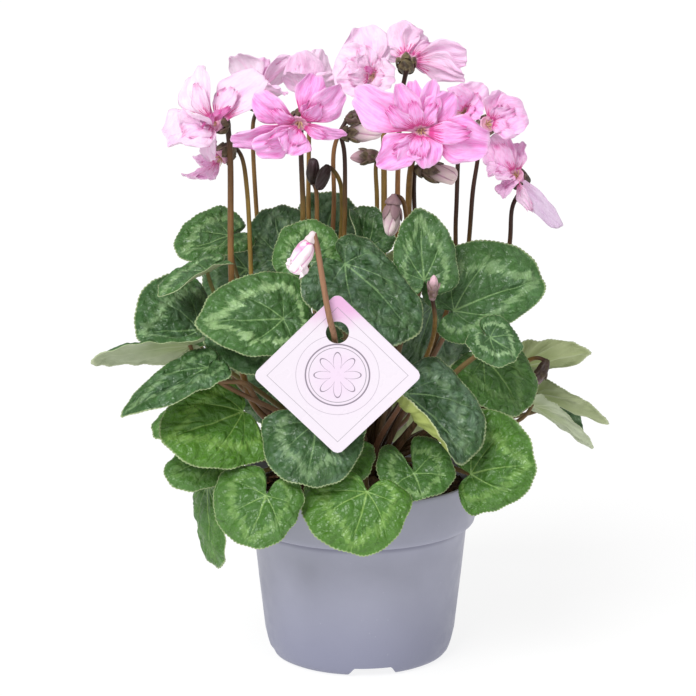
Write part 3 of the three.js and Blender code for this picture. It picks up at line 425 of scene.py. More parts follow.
# How yellow a blade is, how clear its pale band, how dusky, and how pale below, from 0 to 1
LEAF_LOOKS = {
    "left_1": (0.25, 0.6, 0.3, 0.5), "left_2": (0.15, 0.6, 0.35, 0.6), "left_3": (0.05, 0.65, 0.45, 0.6),
    "left_4": (0.1, 0.4, 0.5, 0.8), "left_5": (0.1, 0.5, 0.6, 0.7), "left_6": (0.5, 0.4, 0.1, 0.5),
    "left_7": (0.85, 0.45, 0.0, 0.3), "left_8": (0.5, 0.2, 0.15, 0.3), "left_9": (0.65, 0.1, 0.35, 0.2),
    "front_1": (0.25, 1.0, 0.3, 0.4), "front_2": (0.05, 0.3, 0.7, 0.4), "front_3": (0.0, 0.3, 0.9, 0.4),
    "front_4": (0.3, 0.55, 0.15, 0.4), "front_5": (0.0, 0.12, 0.9, 0.4), "front_6": (0.1, 0.2, 0.8, 0.2),
    "front_7": (0.2, 0.6, 0.5, 0.4), "front_8": (0.05, 0.5, 0.95, 0.4), "front_9": (0.6, 0.3, 0.1, 0.3),
    "front_10": (0.8, 0.45, 0.1, 0.3), "front_11": (0.4, 0.6, 0.25, 0.3), "front_12": (0.62, 0.4, 0.2, 0.3),
    "right_1": (0.15, 0.55, 0.4, 0.4), "right_2": (0.05, 0.9, 0.55, 0.4), "right_3": (0.5, 0.25, 0.25, 0.2),
    "right_4": (0.0, 0.3, 1.0, 0.0), "right_5": (0.7, 0.4, 0.1, 0.3), "right_6": (0.3, 0.2, 0.2, 0.4),
    "right_7": (0.5, 0.2, 0.2, 0.5), "right_8": (0.1, 0.2, 0.7, 0.5), "right_9": (0.3, 0.2, 0.3, 0.9),
    "rear_1": (0.1, 0.2, 0.8, 0.4), "rear_5": (0, 0.2, 1.0, 0.4), "rear_7": (0.1, 0.2, 0.9, 0.4),
    "rear_8": (0, 0.2, 1.0, 0.4), "rear_10": (0, 0.2, 1.0, 0.4),
}


def blade_axes(leaf):
    """The blade's own axes: to the tip, to the left, and out of the upper side."""
    root = leaf["root"]
    along = leaf["tip"] - root
    reach = np.linalg.norm(along)
    along = along / reach
    face = np.array(leaf["face"], float)
    up = unit(face - along * (face @ along))
    return root, along, np.cross(up, along), up, reach


def arc(distance, span, start, curl):
    """Bends flat distances by an even curl: how far out, how far up, and the slope there."""
    begin = np.radians(start)
    turn = np.radians(curl) / span
    turn = np.where(np.abs(turn) < 1e-6, 1e-6, turn)
    slope = begin + turn * distance
    return (np.sin(slope) - np.sin(begin)) / turn, (np.cos(begin) - np.cos(slope)) / turn, slope


def blade_point(leaf, axes, x, y, lift):
    """Points of the bent blade from flat places and heights off the middle surface."""
    root, along, left, up, reach = axes
    share = np.hypot(x, y) / reach
    turn = np.sin(3 * np.arctan2(y, x) + leaf["wave"][1] * 2)
    high = lift + leaf["wave"][0] * np.minimum(share * share, 1.2) * turn
    wide, fold, curl = (np.where(y >= 0, *leaf[field][:2]) for field in ("wide", "fold", "curl"))
    out, rise, tilt = arc(np.abs(y), wide, fold, curl)
    tilt = tilt * soft_step(np.abs(y), 0, 1.5)
    across = np.where(y >= 0, 1.0, -1.0) * (out - high * np.sin(tilt))
    height = rise + high * np.cos(tilt)
    far, climb, slope = arc(np.abs(x), np.where(x >= 0, reach, leaf["wide"][2]), 0, np.where(x >= 0, *leaf["ends"]))
    forward = np.where(x >= 0, 1.0, -1.0) * (far - height * np.sin(slope))
    rising = climb + height * np.cos(slope)
    return root + np.multiply.outer(forward, along) + np.multiply.outer(across, left) + np.multiply.outer(rising, up)


def half_outline(leaf, reach, side, count):
    """Flat places from the tip to the slit, evenly spaced, and the outline's length."""
    outline = list(OUTLINE) if leaf["name"] in POINTED else [*ROUND_TIP, *OUTLINE[2:]]
    outline[-2] = (-1, CLOSED_SLITS.get(leaf["name"], OUTLINE[-2][1]))
    mirrored = (outline[1][0], -outline[1][1])
    keys = curve_points([mirrored, *outline], np.linspace(1 / len(outline), 1, OUTLINE_SAMPLES))
    x = np.where(keys[:, 0] >= 0, keys[:, 0] * reach, keys[:, 0] * leaf["wide"][2])
    y = keys[:, 1] * leaf["wide"][side] * (1 if side == 0 else -1)
    length = np.concatenate([[0], np.cumsum(np.hypot(np.diff(x), np.diff(y)))])
    even = np.linspace(0, length[-1], count + 1)
    return np.interp(even, length, x), np.interp(even, length, y), length[-1]


def outline_spot(outline, share):
    """The flat place at a share of the way along one half outline."""
    return np.array([np.interp(share * len(axis), np.arange(len(axis)), axis) for axis in outline[:2]])


def vein_lines(outlines, reach, draw):
    """Main veins and their forks as (points, start width, end width, strength), flat."""
    lines = [(reach * np.array([[0, 0], [0.35, 0.015], [0.7, -0.01], [0.93, 0]]), 1.0, 0.25, 1.0)]
    t = np.linspace(0, 1, 9)[:, None]
    for outline in outlines:
        for number, end in enumerate(VEIN_ENDS):
            end = end + draw.uniform(-0.04, 0.04)
            tip = outline_spot(outline, end)
            bend = 0.5 * tip - [draw.uniform(0.03, 0.1) * reach, 0] + 0.05 * np.sign(tip[1]) * np.array([0, reach])
            line = 2 * (1 - t) * t * bend + t**2 * tip * 0.88
            lines.append((line, 0.75 - 0.1 * number, 0.2, draw.uniform(0.75, 1.0) - 0.18 * number))
            for place, spread in ((3, 0.11), (5, -0.09), (6, 0.07)):
                far = outline_spot(outline, np.clip(end + spread + draw.uniform(-0.02, 0.02), 0.01, 0.95))
                start = line[place]
                middle = 0.5 * (start + far) + 0.12 * (line[place + 2] - start)
                fork = np.array([start, middle, start + 0.8 * (far - start)])
                lines.append((fork, 0.42, 0.15, draw.uniform(0.3, 0.7)))
        for place, goal in ((0.3, 0.13), (0.52, 0.09), (0.74, 0.05)):
            far = outline_spot(outline, goal + draw.uniform(-0.015, 0.015))
            start = np.array([(place + draw.uniform(-0.06, 0.06)) * reach, 0])
            fork = np.array([start, 0.5 * (start + far) + [2.0, 0], start + 0.85 * (far - start)])
            lines.append((fork, 0.5, 0.15, draw.uniform(0.4, 0.8)))
    return lines


def near_lines(x, y, lines, widen):
    """How close each flat place is to the lines: 1 on a line, 0 past its width times widen."""
    best = np.zeros_like(x)
    for points, first, last, strength in lines:
        count = len(points) - 1
        for i in range(count):
            a, d = points[i], points[i + 1] - points[i]
            t = np.clip(((x - a[0]) * d[0] + (y - a[1]) * d[1]) / (d @ d + 1e-9), 0, 1)
            away = np.hypot(x - a[0] - t * d[0], y - a[1] - t * d[1])
            width = (first + (last - first) * (i + t) / count) * widen
            best = np.maximum(best, strength * np.clip(1 - away / width, 0, 1))
    return best


def leaf_piece(leaf, number, materials):
    """One blade: veined, puckered and toothed, on its own CAD blade's form."""
    draw = np.random.default_rng(LEAF_SEED + number)
    name = leaf["name"]
    longer, *wider = GROWN.get(name, (1, 1, 1, 1))
    root, tip = leaf["root"], leaf["tip"]
    wide = [share * width for share, width in zip(wider, leaf["wide"])]
    leaf = {**leaf, "tip": root + longer * (tip - root), "wide": wide}
    axes = blade_axes(leaf)
    reach = axes[4]
    length = sum(half_outline(leaf, reach, side, 10)[2] for side in (0, 1))
    teeth = max(LEAST_TEETH, round(length / TOOTH_PITCH / 2))
    count = teeth * TOOTH_STEPS
    left, right = (half_outline(leaf, reach, side, count) for side in (0, 1))
    # From the slit round the right side to the tip, and back round the left side
    flat_x, flat_y = (np.concatenate([right[i][::-1], left[i][1:-1]]) for i in (0, 1))
    place = np.concatenate([np.linspace(-1, 0, count + 1), np.linspace(0, 1, count + 1)[1:-1]])
    total = len(place)
    lines = vein_lines([left, right], reach, draw)
    phase = draw.uniform(0, TURN, 8)
    tooth = np.abs(np.sin(math.pi * teeth * np.abs(place))) ** 0.8
    fade = soft_step(1 - np.abs(place), 0.08, 0.16)
    scallop = 0.3 * np.sin(2 * math.pi * place * (4 + number % 3) + phase[4]) + 0.15 * np.sin(place * 41 + phase[5])
    point = 2.2 * np.exp(-((place / 0.05) ** 2)) * (name in POINTED)
    size = np.maximum(np.hypot(flat_x, flat_y), 3)
    plain = (draw.uniform(0, 0.3), draw.uniform(0.3, 0.8), draw.uniform(0.3, 0.8), 0.4)
    looks = dict(zip(("yellow", "band", "dusk", "below"), LEAF_LOOKS.get(name, plain)))
    # Inner edge of the pale band: drawn out towards the tip and a little towards each vein
    stops = np.array([0, *VEIN_ENDS, 1.15])
    nearest = np.min(np.abs(np.abs(place)[:, None] - stops[None, :]), axis=1)
    band = 0.6 + 0.2 * np.exp(-((place / 0.09) ** 2)) - 0.35 * nearest + 0.02 * np.sin(9 * place + phase[6])
    pucker_share = PUCKERED.get(name, LEAST_PUCKER)
    shape = Shape("rad", "zone", "turn", "vein", "yellow", "band", "dusk", "below", "pucker")
    starts = []
    for kind, (rings, sign) in enumerate(((RINGS, 1), (UNDER_RINGS, -1))):
        rings = np.array(rings)[:, None]
        teeth_out = fade * TOOTH_HEIGHT * (tooth - 0.6) * soft_step(rings, 0.93, 1)
        trim = 1 + (teeth_out + (scallop + point) * rings**3) / size
        x, y = rings * flat_x * trim, rings * flat_y * trim
        vein = near_lines(x, y, lines, 1.0)
        broad = near_lines(x, y, lines, VEIN_VALLEY)
        swell = soft_step(rings, 0.06, 0.4) * (1 - soft_step(rings, 0.88, 1.0))
        drift = (np.sin(x * 0.42 + phase[0]) * np.sin(y * 0.37 + phase[1])
                 + 0.7 * np.sin(x * 0.19 - y * 0.24 + phase[2]) + 0.45 * np.sin(x * 0.7 + y * 0.5 + phase[7]))
        pucker = (np.sin(x * 1.15 + phase[5] + 0.6 * np.sin(y * 0.5))
                  * np.sin(y * 1.05 + phase[4] + 0.5 * np.sin(x * 0.45)))
        lift = ((SWELL * swell + PUCKER * pucker_share * pucker * swell) * (1 - broad)
                - VEIN_GROOVE * vein * soft_step(rings, 0.05, 0.3) + DRIFT * drift * soft_step(rings, 0.1, 0.6)
                - soft_step(rings, 0.8, 1.0) * (0.5 + 0.7 * np.sin(place * 11 + phase[3])))
        half = BLADE_HALF - EDGE_THINNING * soft_step(rings, 0.75, 1.0)
        if sign < 0:
            half = half + UNDER_SWELL * (1 - soft_step(rings, 0.8, 1.0))
        centre = np.zeros(1)
        points = np.vstack([blade_point(leaf, axes, centre, centre, centre + sign * BLADE_HALF),
                            blade_point(leaf, axes, x, y, lift + sign * half).reshape(-1, 3)])
        faces = [[0, 1 + i, 1 + (i + 1) % total] for i in range(total)]
        faces += grid_faces(len(rings), total, 1, wrap=True, flip=True)
        starts.append(shape.count + 1 + (len(rings) - 1) * total)
        shape.add(points, [face[::sign] for face in faces], kind=kind, **looks, pucker=pucker_share,
                  rad=[0, *np.repeat(rings, total)], zone=[-0.6, *(rings - band).ravel()],
                  turn=[0, *np.tile(place, len(rings))], vein=[1, *vein.ravel()])
    top, under = starts
    shape.faces += [[top + i, under + i, under + (i + 1) % total, top + (i + 1) % total] for i in range(total)]
    shape.kinds += [2] * total
    shape.piece(f"leaf_{name}_blade", materials, [f"leaf_{name}"], "leaf_blade")


# Flowers

PETAL_START = 2
# Rows along a petal and columns across it: large and small petals
PETAL_GRIDS = ((28, 21), (18, 15))
# Width of a petal along its length, as shares: round-ended, and narrow like a strap
ROUND_WIDTH = [(0, 0.18), (0.12, 0.34), (0.3, 0.66), (0.5, 0.95), (0.7, 1.08), (0.85, 1.04), (0.94, 0.92), (1, 0.74)]
STRAP_WIDTH = [(0, 0.3), (0.15, 0.46), (0.35, 0.66), (0.6, 0.78), (0.8, 0.8), (0.92, 0.74), (0.97, 0.66), (1, 0.52)]
# Distance and radius of a flower's cup, from its calyx to its throat
CUP_ROWS = [(-CUP_DEPTH, 1.5), (-CUP_DEPTH + 0.2, 2.5), (-3.4, 3.3), (-2, 3.8), (-0.6, 4), (0.1, 3.9), (0, 3.5),
            (-0.5, 3), (-0.9, 2.2), (-1.0, 0.5)]
CUP_SIDES = 24
# Half thickness of a petal at its start, and how much thinner its end is, in mm
PETAL_HALF, PETAL_THINNING = 0.17, 0.08
# Heights of a petal's forms, as shares of its width; the bow is a share of its length
BOW, RUFFLE, CUPPING, SIDE_CURL, FRILL = 0.13, 0.06, 0.12, 0.1, 0.06
FOLDS, CREASE, PLEATS, TIP_ROLL, SWAY = 0.058, 0.06, 0.008, 0.2, 0.03
STAMENS = 9
STAMEN_SIDES = 8
# The golden angle, in radians
GOLDEN = 2.399
# Petals that are straps, by bloom
STRAPS = {8: (0, 1, 2), 4: (6,), 6: (3,), 7: (4,), 3: (3,), 11: (4,)}
# How much wider than their solids the petals spread
SPREAD = {1: 1.06, 3: 1.15, 5: 1.2, 6: 1.15, 7: 1.1}
# How pale the petals are that differ from the rest of their bloom; above 1 they turn lavender
PALE_PETALS = {(11, 4): 1.9, (7, 0): 0.9, (7, 1): 0.8, (5, 1): 1.0, (3, 0): 0.95, (9, 0): 0.6, (11, 1): 0.8}
# How pale each bloom is, from 0, full pink, to 1, nearly white; and how crumpled
BLOOM_LOOKS = {1: (0.95, 0.6), 2: (0.6, 0.9), 3: (0.75, 0.7), 4: (0.05, 1.0), 5: (0.85, 0.8), 6: (0.9, 1.1),
               7: (0.8, 0.9), 8: (0.0, 0.8), 9: (0.3, 0.9), 10: (0.45, 0.9), 11: (0.6, 1.4)}
# The bloom whose small inner petals are the narrowest
NARROW_BLOOM = 8
# Narrow deep pink frills at a throat seen from the side, as petals
FRILLS = {1: [(seen(201, 137, -46), 3.4, 30), (seen(206, 126, -50), 3, -40), (seen(215, 114, -50), 3, 50),
              (seen(224, 111, -49), 3, -30), (seen(232, 107, -45), 3.4, 20)],
          6: [(seen(366, 68, -24), 3, 30)]}
# How dusky each bud is, from 0 to 1; how ragged its end is; how much of it the sepals cover
BUD_LOOKS = {"bud_1": (0.45, 0.5, 0.34), "bud_2": (0.7, 1.0, 0.55), "bud_3": (0.5, 0.4, 0.5),
             "bud_4": (0.0, 1.0, 0.12), "bud_5": (0.6, 0, 0.6), "bud_6": (0.5, 0, 0.55), "bud_7": (1.0, 0.5, 0),
             "bud_8": (1.0, 0.5, 0), "bud_9": (0.4, 0, 0.5), "bud_10": (0.9, 0, 0.5)}
BUD_SIDES = 60
BUD_ROWS = 30


def soft_fold(turn):
    """A rounded ridge that repeats, with narrow valleys."""
    return np.sqrt(np.sin(turn) ** 2 + 0.04)


def petal_part(throat, facing, petal, draw, crumple, small=False, strap=False, raised=-0.8):
    """A wavy, creased petal with a rounded end: its points, its faces and its own coordinates."""
    tip, width, roll = petal
    steps, columns = PETAL_GRIDS[1 if small else 0]
    along = tip - throat
    reach = np.linalg.norm(along)
    along = along / reach
    up = turn_about(unit(facing - along * (facing @ along)), along, roll)
    left = np.cross(up, along)
    u = np.linspace(0, 1, steps)[:, None]
    v = np.linspace(-1, 1, columns)[None, :]
    ph = draw.uniform(0, TURN, 12)
    out = soft_step(u, 0.25, 1.0)
    places = np.linspace(0, 1, 60)
    wide = np.interp(u, places, curve_points(STRAP_WIDTH if strap else ROUND_WIDTH, places)[:, 1]) * width / 2
    wide = wide * (1 + 0.07 * soft_step(u, 0.3, 0.8) * np.sin(9 * u + ph[0] + 1.5 * np.sign(v)))
    ragged = 0.045 * np.sin(9 * v + ph[1]) + 0.03 * np.sin(17 * v + ph[2]) if small else 0.012 * np.sin(8 * v + ph[2])
    round_end = 1.03 - 0.17 * np.abs(v) ** 3 + 0.02 * np.cos(4 * v + ph[1]) + ragged
    length = PETAL_START + (reach - PETAL_START) * u * (1 + (round_end - 1) * soft_step(u, 0.3, 1.0))
    bow = BOW * reach * 4 * u * (1 - u)
    ruffle = v * RUFFLE * width * np.sin(5 * u + width)
    cup = CUPPING * width * u * np.abs(v) ** 1.6
    side_curl = crumple * SIDE_CURL * width * out * np.clip(np.abs(v) - 0.55, 0, 1) / 0.45 * np.sin(
        3.5 * u + ph[3] + np.sign(v))
    frill = width * out * (FRILL * np.sin(5.5 * v + 2.5 * u + ph[4]) * (0.3 + 0.7 * np.abs(v))
                           + (0.05 if small else 0.022) * np.sin(13 * v + 6 * u + ph[5]))
    folds = crumple * FOLDS * width * soft_step(u, 0.15, 0.5) * (
        soft_fold(3.1 * v + 4.2 * u + ph[6]) + 0.7 * soft_fold(4.7 * v - 5.5 * u + ph[7]) - 0.9)
    crease = -CREASE * width * np.exp(-((v + 0.1 * np.sin(4 * u + ph[8])) / 0.15) ** 2) * (1 - 0.4 * u)
    pleats = PLEATS * width * np.cos(20 * v + ph[9]) * (1 - 0.5 * u)
    tip_roll = -TIP_ROLL * width * np.clip(u - 0.8, 0, 1) ** 1.5 * 5 * np.sin(ph[10])
    height = bow + ruffle + cup + side_curl + frill + folds + crease + pleats + tip_roll
    sway = crumple * SWAY * width * out * np.sin(7 * u + 2 * v + ph[11])
    centre = (throat + raised * facing + np.multiply.outer(length, along)
              + np.multiply.outer(v * wide + sway, left) + np.multiply.outer(height, up))
    half = PETAL_HALF - PETAL_THINNING * u
    points = [(centre + np.multiply.outer(sign * half * np.ones_like(v), up)).reshape(-1, 3) for sign in (1, -1)]
    edge = np.minimum(1 - np.abs(v), (1 - u) * reach / width * 2)
    valley = np.clip(-(frill + folds + crease + pleats) / (0.05 * width), 0, 1)
    own = {name: np.tile(np.broadcast_to(grid, (steps, columns)).ravel(), 2)
           for name, grid in (("along", u), ("across", v), ("edge", edge), ("valley", valley))}
    return np.vstack(points), sheet_faces(steps, columns), own


def inner_petals(bloom, number, throat, facing, draw):
    """Small crumpled petals that lie on the large ones."""
    made = []
    narrow = 0.46 if number == NARROW_BLOOM else 0.56
    for i, (tip, width, _) in enumerate(bloom["petals"]):
        way = tip - throat
        turned = turn_about(way, facing, draw.uniform(5, 16) * (1 if i % 2 else -1))
        share = draw.uniform(0.52, 0.7)
        spot = throat + turned * share + facing * 0.19 * np.linalg.norm(way)
        made.append((spot, width * narrow, draw.uniform(-20, 20)))
    return made


def bloom_piece(bloom, number, materials):
    """A bloom: petals round a short cup with stamens in it."""
    draw = np.random.default_rng(BLOOM_SEED + number)
    shape = Shape("along", "across", "edge", "valley", "pale", "deep")
    pale, crumple = BLOOM_LOOKS[number]
    throat = bloom["throat"]
    facing = unit(bloom["faces"])
    shape.add(*turned_part(throat, facing, CUP_ROWS, CUP_SIDES), kind=1)
    for i, (tip, width, roll) in enumerate(bloom["petals"]):
        petal = (tip, width * SPREAD.get(number, 1), roll)
        part = petal_part(throat, facing, petal, draw, crumple, strap=i in STRAPS.get(number, ()))
        shape.add(*part, pale=np.clip(PALE_PETALS.get((number, i), pale) + draw.uniform(-0.1, 0.1), 0, 2))
    for i, petal in enumerate(inner_petals(bloom, number, throat, facing, draw)):
        part = petal_part(throat, facing, petal, draw, 1.5 * crumple, small=True, raised=-0.5)
        light = min(1.0, PALE_PETALS.get((number, i), pale))
        shape.add(*part, pale=max(0.0, light - 0.1), deep=1 - 0.6 * light)
    for petal in FRILLS.get(number, ()):
        shape.add(*petal_part(throat, facing, petal, draw, 1.5, small=True, raised=1.8), deep=1.45)
    side = unit(np.cross(facing, [0.3, 0.2, 1]))
    other = np.cross(facing, side)
    for i in range(STAMENS):
        radius = 0.55 * math.sqrt(i)
        out = math.cos(i * GOLDEN) * side + math.sin(i * GOLDEN) * other
        rows = [(-1.5, 0.22), (0.6, 0.26), (1.8, 0.24), (2.9 + 0.4 * math.cos(2 * i), 0.1)]
        way = facing + 0.45 * radius * out - [0, 0, 0.25]
        shape.add(*turned_part(throat + radius * out, way, rows, STAMEN_SIDES), kind=2)
    shape.piece(bloom["name"] + "_petals", materials, [bloom["name"]], "petal")


def bud_radius(wide, reach, ragged):
    """Rows of distance and radius of a bud."""
    return smooth_rows([(0, 0.55 * wide), (0.12 * reach, 0.82 * wide), (0.35 * reach, wide),
                        (0.58 * reach, 0.92 * wide), (0.78 * reach, (0.66 + 0.2 * ragged) * wide),
                        (0.93 * reach, (0.34 + 0.35 * ragged) * wide), (reach, (0.06 + 0.2 * ragged) * wide)],
                       BUD_ROWS)


def wound_ridge(angles, share):
    """How far out the wound petals of a bud stand, from 0 to 1."""
    return np.abs(np.sin((angles * 5 - share * 7) / 2))


def bud_part(base, to, wide, ragged=0.0):
    """A closed bud of petals wound round each other, with a point or a ragged end."""

    def wound(angles, share):
        flare = 1 + ragged * 0.22 * soft_step(share, 0.6, 1) * np.sin(7 * angles + 3)
        return (0.84 + 0.2 * wound_ridge(angles, share) * min(1, 0.3 + share)) * flare

    rows = bud_radius(wide, np.linalg.norm(to - base), ragged)
    points, faces, own = turned_part(base, to - base, rows, BUD_SIDES, wound)
    return points, faces, {**own, "ridge": wound_ridge(np.tile(bearings(BUD_SIDES), len(rows)), own["place"])}


def bud_piece(bud, materials):
    """A bud whose petals show."""
    dusk, ragged, _ = BUD_LOOKS[bud["name"]]
    base, to = bud["base"], bud["to"]
    points, faces, own = bud_part(base, to, bud["wide"], ragged)
    shape = Shape("along", "ridge", "dusk")
    shape.add(points, faces, own, along=own["place"], dusk=dusk)
    if bud["name"] == OPENING_BUD:
        # Loose petal ends round its mouth
        draw = np.random.default_rng(BUD_SEED)
        axis = unit(to - base)
        for k in range(5):
            side = turn_about(unit(np.cross(axis, [0.2, 1, 0.1])), axis, 72 * k + 20)
            start = base + (to - base) * 0.45 + side * bud["wide"] * 0.55
            tip = to + side * bud["wide"] * draw.uniform(0.3, 0.9) + axis * draw.uniform(-3.5, 1.5)
            points, faces, own = petal_part(start, side, (tip, 6.5, 0), draw, 1.4, small=True, raised=0)
            shape.add(points, faces, along=0.5 + 0.5 * own["along"], ridge=1 - own["valley"], dusk=dusk)
    shape.piece(bud["name"] + "_petals", materials, [bud["name"]], "bud_petal")


# Stems

# How dark the calyces are that differ from the rest; below 0 they are pale
DARK_CALYCES = {"bloom_7": 0.15, "bloom_3": 0.8, "bloom_11": 0.9, "bud_4": -0.9}
# How dark the stalks are that differ from the rest, and how thick; then how thick the others are
DARK_STALKS = {"bloom_9": 0.9, "bloom_10": 0.9, "bloom_11": 0.8, "bloom_4": 0.5, "bud_1": 0.6, "bud_2": 0.6,
               "bud_4": -0.6}
THICK_STALKS = {"bloom_1": 1.0, "bloom_6": 0.95, "bloom_7": 0.85, "bloom_8": 1.05, "bloom_4": 0.85, "bud_4": 0.95}
PLAIN_STALK = 0.74
MAUVE_CALYCES = ("bud_3", "bud_9")
# Sepals of a calyx, and the rows and columns of one
SEPALS = 5
SEPAL_GRID = (9, 7)
STALK_STEPS, STALK_SIDES, CALYX_SIDES = 48, 14, 40
PETIOLE_STEPS, PETIOLE_SIDES = 25, 12
# How much a petiole thins on its way up, and how much its end widens where it meets the blade
PETIOLE_TAPER, PETIOLE_FLARE = 0.42, 1.35
# How far from the tuber's axis, and how far below its top, the petioles and stalks start, in mm
PETIOLE_CROWN, STALK_CROWN = (10, 6), (5, 5)
# The turn from one stalk's start to the next, in radians
STALK_TURN = 2.4
# How far petioles lean out as they leave the tuber, and how far below the blade's middle they end, in mm
LEAN_OUT = 0.35
PETIOLE_END = 0.4
TUBER_SIDES = 64


def crown_point(crown, bearing):
    """Where a petiole or stalk leaves the tuber."""
    return np.array([crown[0] * math.cos(bearing), crown[0] * math.sin(bearing), TUBER_TOP - crown[1]])


def petiole_line(leaf):
    """The petiole's line, from the tuber's crown to just under the blade."""
    root, _, _, up, _ = blade_axes(leaf)
    end = root - up * (BLADE_THICKNESS / 2 + PETIOLE_GAP)
    bearing = math.atan2(end[1], end[0])
    start = crown_point(PETIOLE_CROWN, bearing)
    last = root - up * PETIOLE_END
    if leaf["name"] in BENDS:
        return curve_points([start, *BENDS[leaf["name"]], end - up * 6, last], np.linspace(0, 1, PETIOLE_STEPS + 1))
    distance = np.linalg.norm(end - start)
    rise = unit([LEAN_OUT * math.cos(bearing), LEAN_OUT * math.sin(bearing), 1])
    line = bezier_points(start, start + rise * 0.4 * distance, end - up * 0.3 * distance, end, PETIOLE_STEPS)
    return np.vstack([line, last])


def sepal_part(base, away, side, radii, reach, bulge):
    """A round-ended sepal that hugs a bud or a flower's cup. radii(share) is the carrier's radius."""
    other = np.cross(away, side)
    steps, columns = SEPAL_GRID
    t = np.linspace(0, 1, steps)[:, None]
    c = np.linspace(-1, 1, columns)[None, :]
    angle = 0.66 * (1 - 0.97 * t**2.4) ** 0.7 * c
    far = reach * t * (1 - 0.1 * c**2)
    rows = []
    for lift in (0.32, -0.1):
        radius = radii(t) + lift + bulge * (1 - c**2) - 0.12 * np.abs(c)
        rows.append((base + np.multiply.outer(far, away) + np.multiply.outer(radius * np.cos(angle), side)
                     + np.multiply.outer(radius * np.sin(angle), other)).reshape(-1, 3))
    own = {name: np.tile(np.broadcast_to(grid, (steps, columns)).ravel(), 2)
           for name, grid in (("ridge", 1 - np.abs(c)), ("place", t))}
    return np.vstack(rows), sheet_faces(steps, columns), own


def flower_stem(shape, flower, i, draw):
    """Adds a flower's or bud's stalk, its calyx, and a dark bud."""
    name = flower["name"]
    is_bloom = "throat" in flower
    base = flower["throat" if is_bloom else "base"]
    way = flower["faces"] if is_bloom else flower["to"] - base
    away = unit(way)
    back = base - away * (GAP + CALYX_DEPTH + (CUP_DEPTH if is_bloom else 0))
    width = 4.2 if is_bloom else flower["wide"] * (0.5 if name == OPENING_BUD else 0.85)
    dusk, ragged, cover = (0.5, 0, 0) if is_bloom else BUD_LOOKS[name]
    bud_dusk = dusk
    dusk = DARK_CALYCES.get(name, dusk)
    start = crown_point(STALK_CROWN, i * STALK_TURN)
    line = curve_points([start, *flower["stalk"], back], np.linspace(0, 1, STALK_STEPS))
    t = np.linspace(0, 1, len(line))
    thick = STALK_RADIUS * THICK_STALKS.get(name, PLAIN_STALK) * (1.06 - 0.2 * t) * (1 + 0.02 * np.sin(20 * t + i))
    thick[-3:] *= [1.05, 1.15, 1.2]
    shape.add(*tube_part(line, thick, STALK_SIDES), kind=1, speck=draw.uniform(0, 1),
              dusk=DARK_STALKS.get(name, 0.0), mauve=name == OPENING_BUD)

    def ribs(angles, share):
        return 1 + 0.09 * share * np.cos(5 * angles)

    looks = dict(dusk=dusk, mauve=name in MAUVE_CALYCES)
    cone = smooth_rows([(-1, 1.1), (0, 1.7), (1.2, width * 0.72), (2.6, width * 0.96), (CALYX_DEPTH, width)], 12)
    points, faces, own = turned_part(back, away, cone, CALYX_SIDES, ribs)
    shape.add(points, faces, kind=3, place=0.5 * own["place"], ridge=1, **looks)
    if is_bloom:
        start, reach, bulge = back + away * (CALYX_DEPTH - 0.8), 6.2, 0.7

        def radii(t):
            return 4.1 + 0.25 * np.sin(3 * t)
    else:
        long = np.linalg.norm(way)
        start, reach, bulge = base - away * 0.6, cover * long + 0.6, 0.15
        profile = bud_radius(flower["wide"], long, ragged)

        def radii(t):
            return np.maximum(np.interp(reach * t - 0.6, profile[:, 0], profile[:, 1]), 0.6 * flower["wide"]) + 0.1

    u, w = square_to(away)
    for k in range(SEPALS if is_bloom or cover > 0.2 else 0):
        angle = 2 * math.pi * k / SEPALS + 0.3
        out = math.cos(angle) * u + math.sin(angle) * w
        shape.add(*sepal_part(start, away, out, radii, reach, bulge), kind=3, **looks)
    if not is_bloom and not flower["pink"]:
        shape.add(*bud_part(back, flower["to"], flower["wide"], ragged), kind=4, dusk=bud_dusk)


def stems_piece(materials):
    """Tuber, petioles, stalks, calyces and dark buds, all grown together."""
    draw = np.random.default_rng(STEM_SEED)
    shape = Shape("place", "speck", "ridge", "dusk", "mauve")
    profile = smooth_rows([(0, 11.5), (3, 15.5), (8, TUBER_RADIUS), (13, 18.4), (17, 16.6), (21, 12.5), (23, 8.5),
                           (24, 2)], 34)

    def lumps(angles, share):
        return 1 + 0.035 * np.sin(5 * angles + 9 * share) + 0.025 * np.sin(11 * angles - 14 * share)

    shape.add(*turned_part([0, 0, TUBER_BOTTOM], [0, 0, 1], profile, TUBER_SIDES, lumps), kind=2)
    for leaf in LEAVES:
        line = petiole_line(leaf)
        radii = PETIOLE_RADIUS * (1 - PETIOLE_TAPER * np.linspace(0, 1, len(line)))
        radii[-1] *= PETIOLE_FLARE
        shape.add(*tube_part(line, radii, PETIOLE_SIDES), speck=draw.uniform(0, 1))
    for i, flower in enumerate([*BLOOMS, *BUDS]):
        flower_stem(shape, flower, i, draw)
    shape.piece("tuber_and_stems", materials, ["stems"], "stem")


# Pot, peat and label

POT_SIDES = 192
DRAIN_SIDES = 32
# How far the drain holes lie from the pot's axis, and where the first notch is, in radians
DRAIN_REACH = 31
FIRST_NOTCH = -math.pi / 2 + 0.14
# Where a notch starts and ends, from the pot's axis, in mm
NOTCH_SPAN = (35, 49)
PEAT_SIDES = 180
# Rings of the peat's top, waves of its surface, their greatest height in mm, crumbs, and the bark chips' share
PEAT_RINGS, PEAT_WAVES, PEAT_ROUGHNESS, CRUMBS, CHIP_SHARE = 44, 26, 1.8, 620, 0.3
# Least and greatest distance of a crumb from the pot's axis, in mm
CRUMB_REACH = (22, 55)
# Points round the card and rings from its hole to its edge; how slightly it bows, per mm, and where that is 0
CARD_SIDES, CARD_STEPS = 192, 9
CARD_BOW, CARD_FLAT = 0.0006, 300
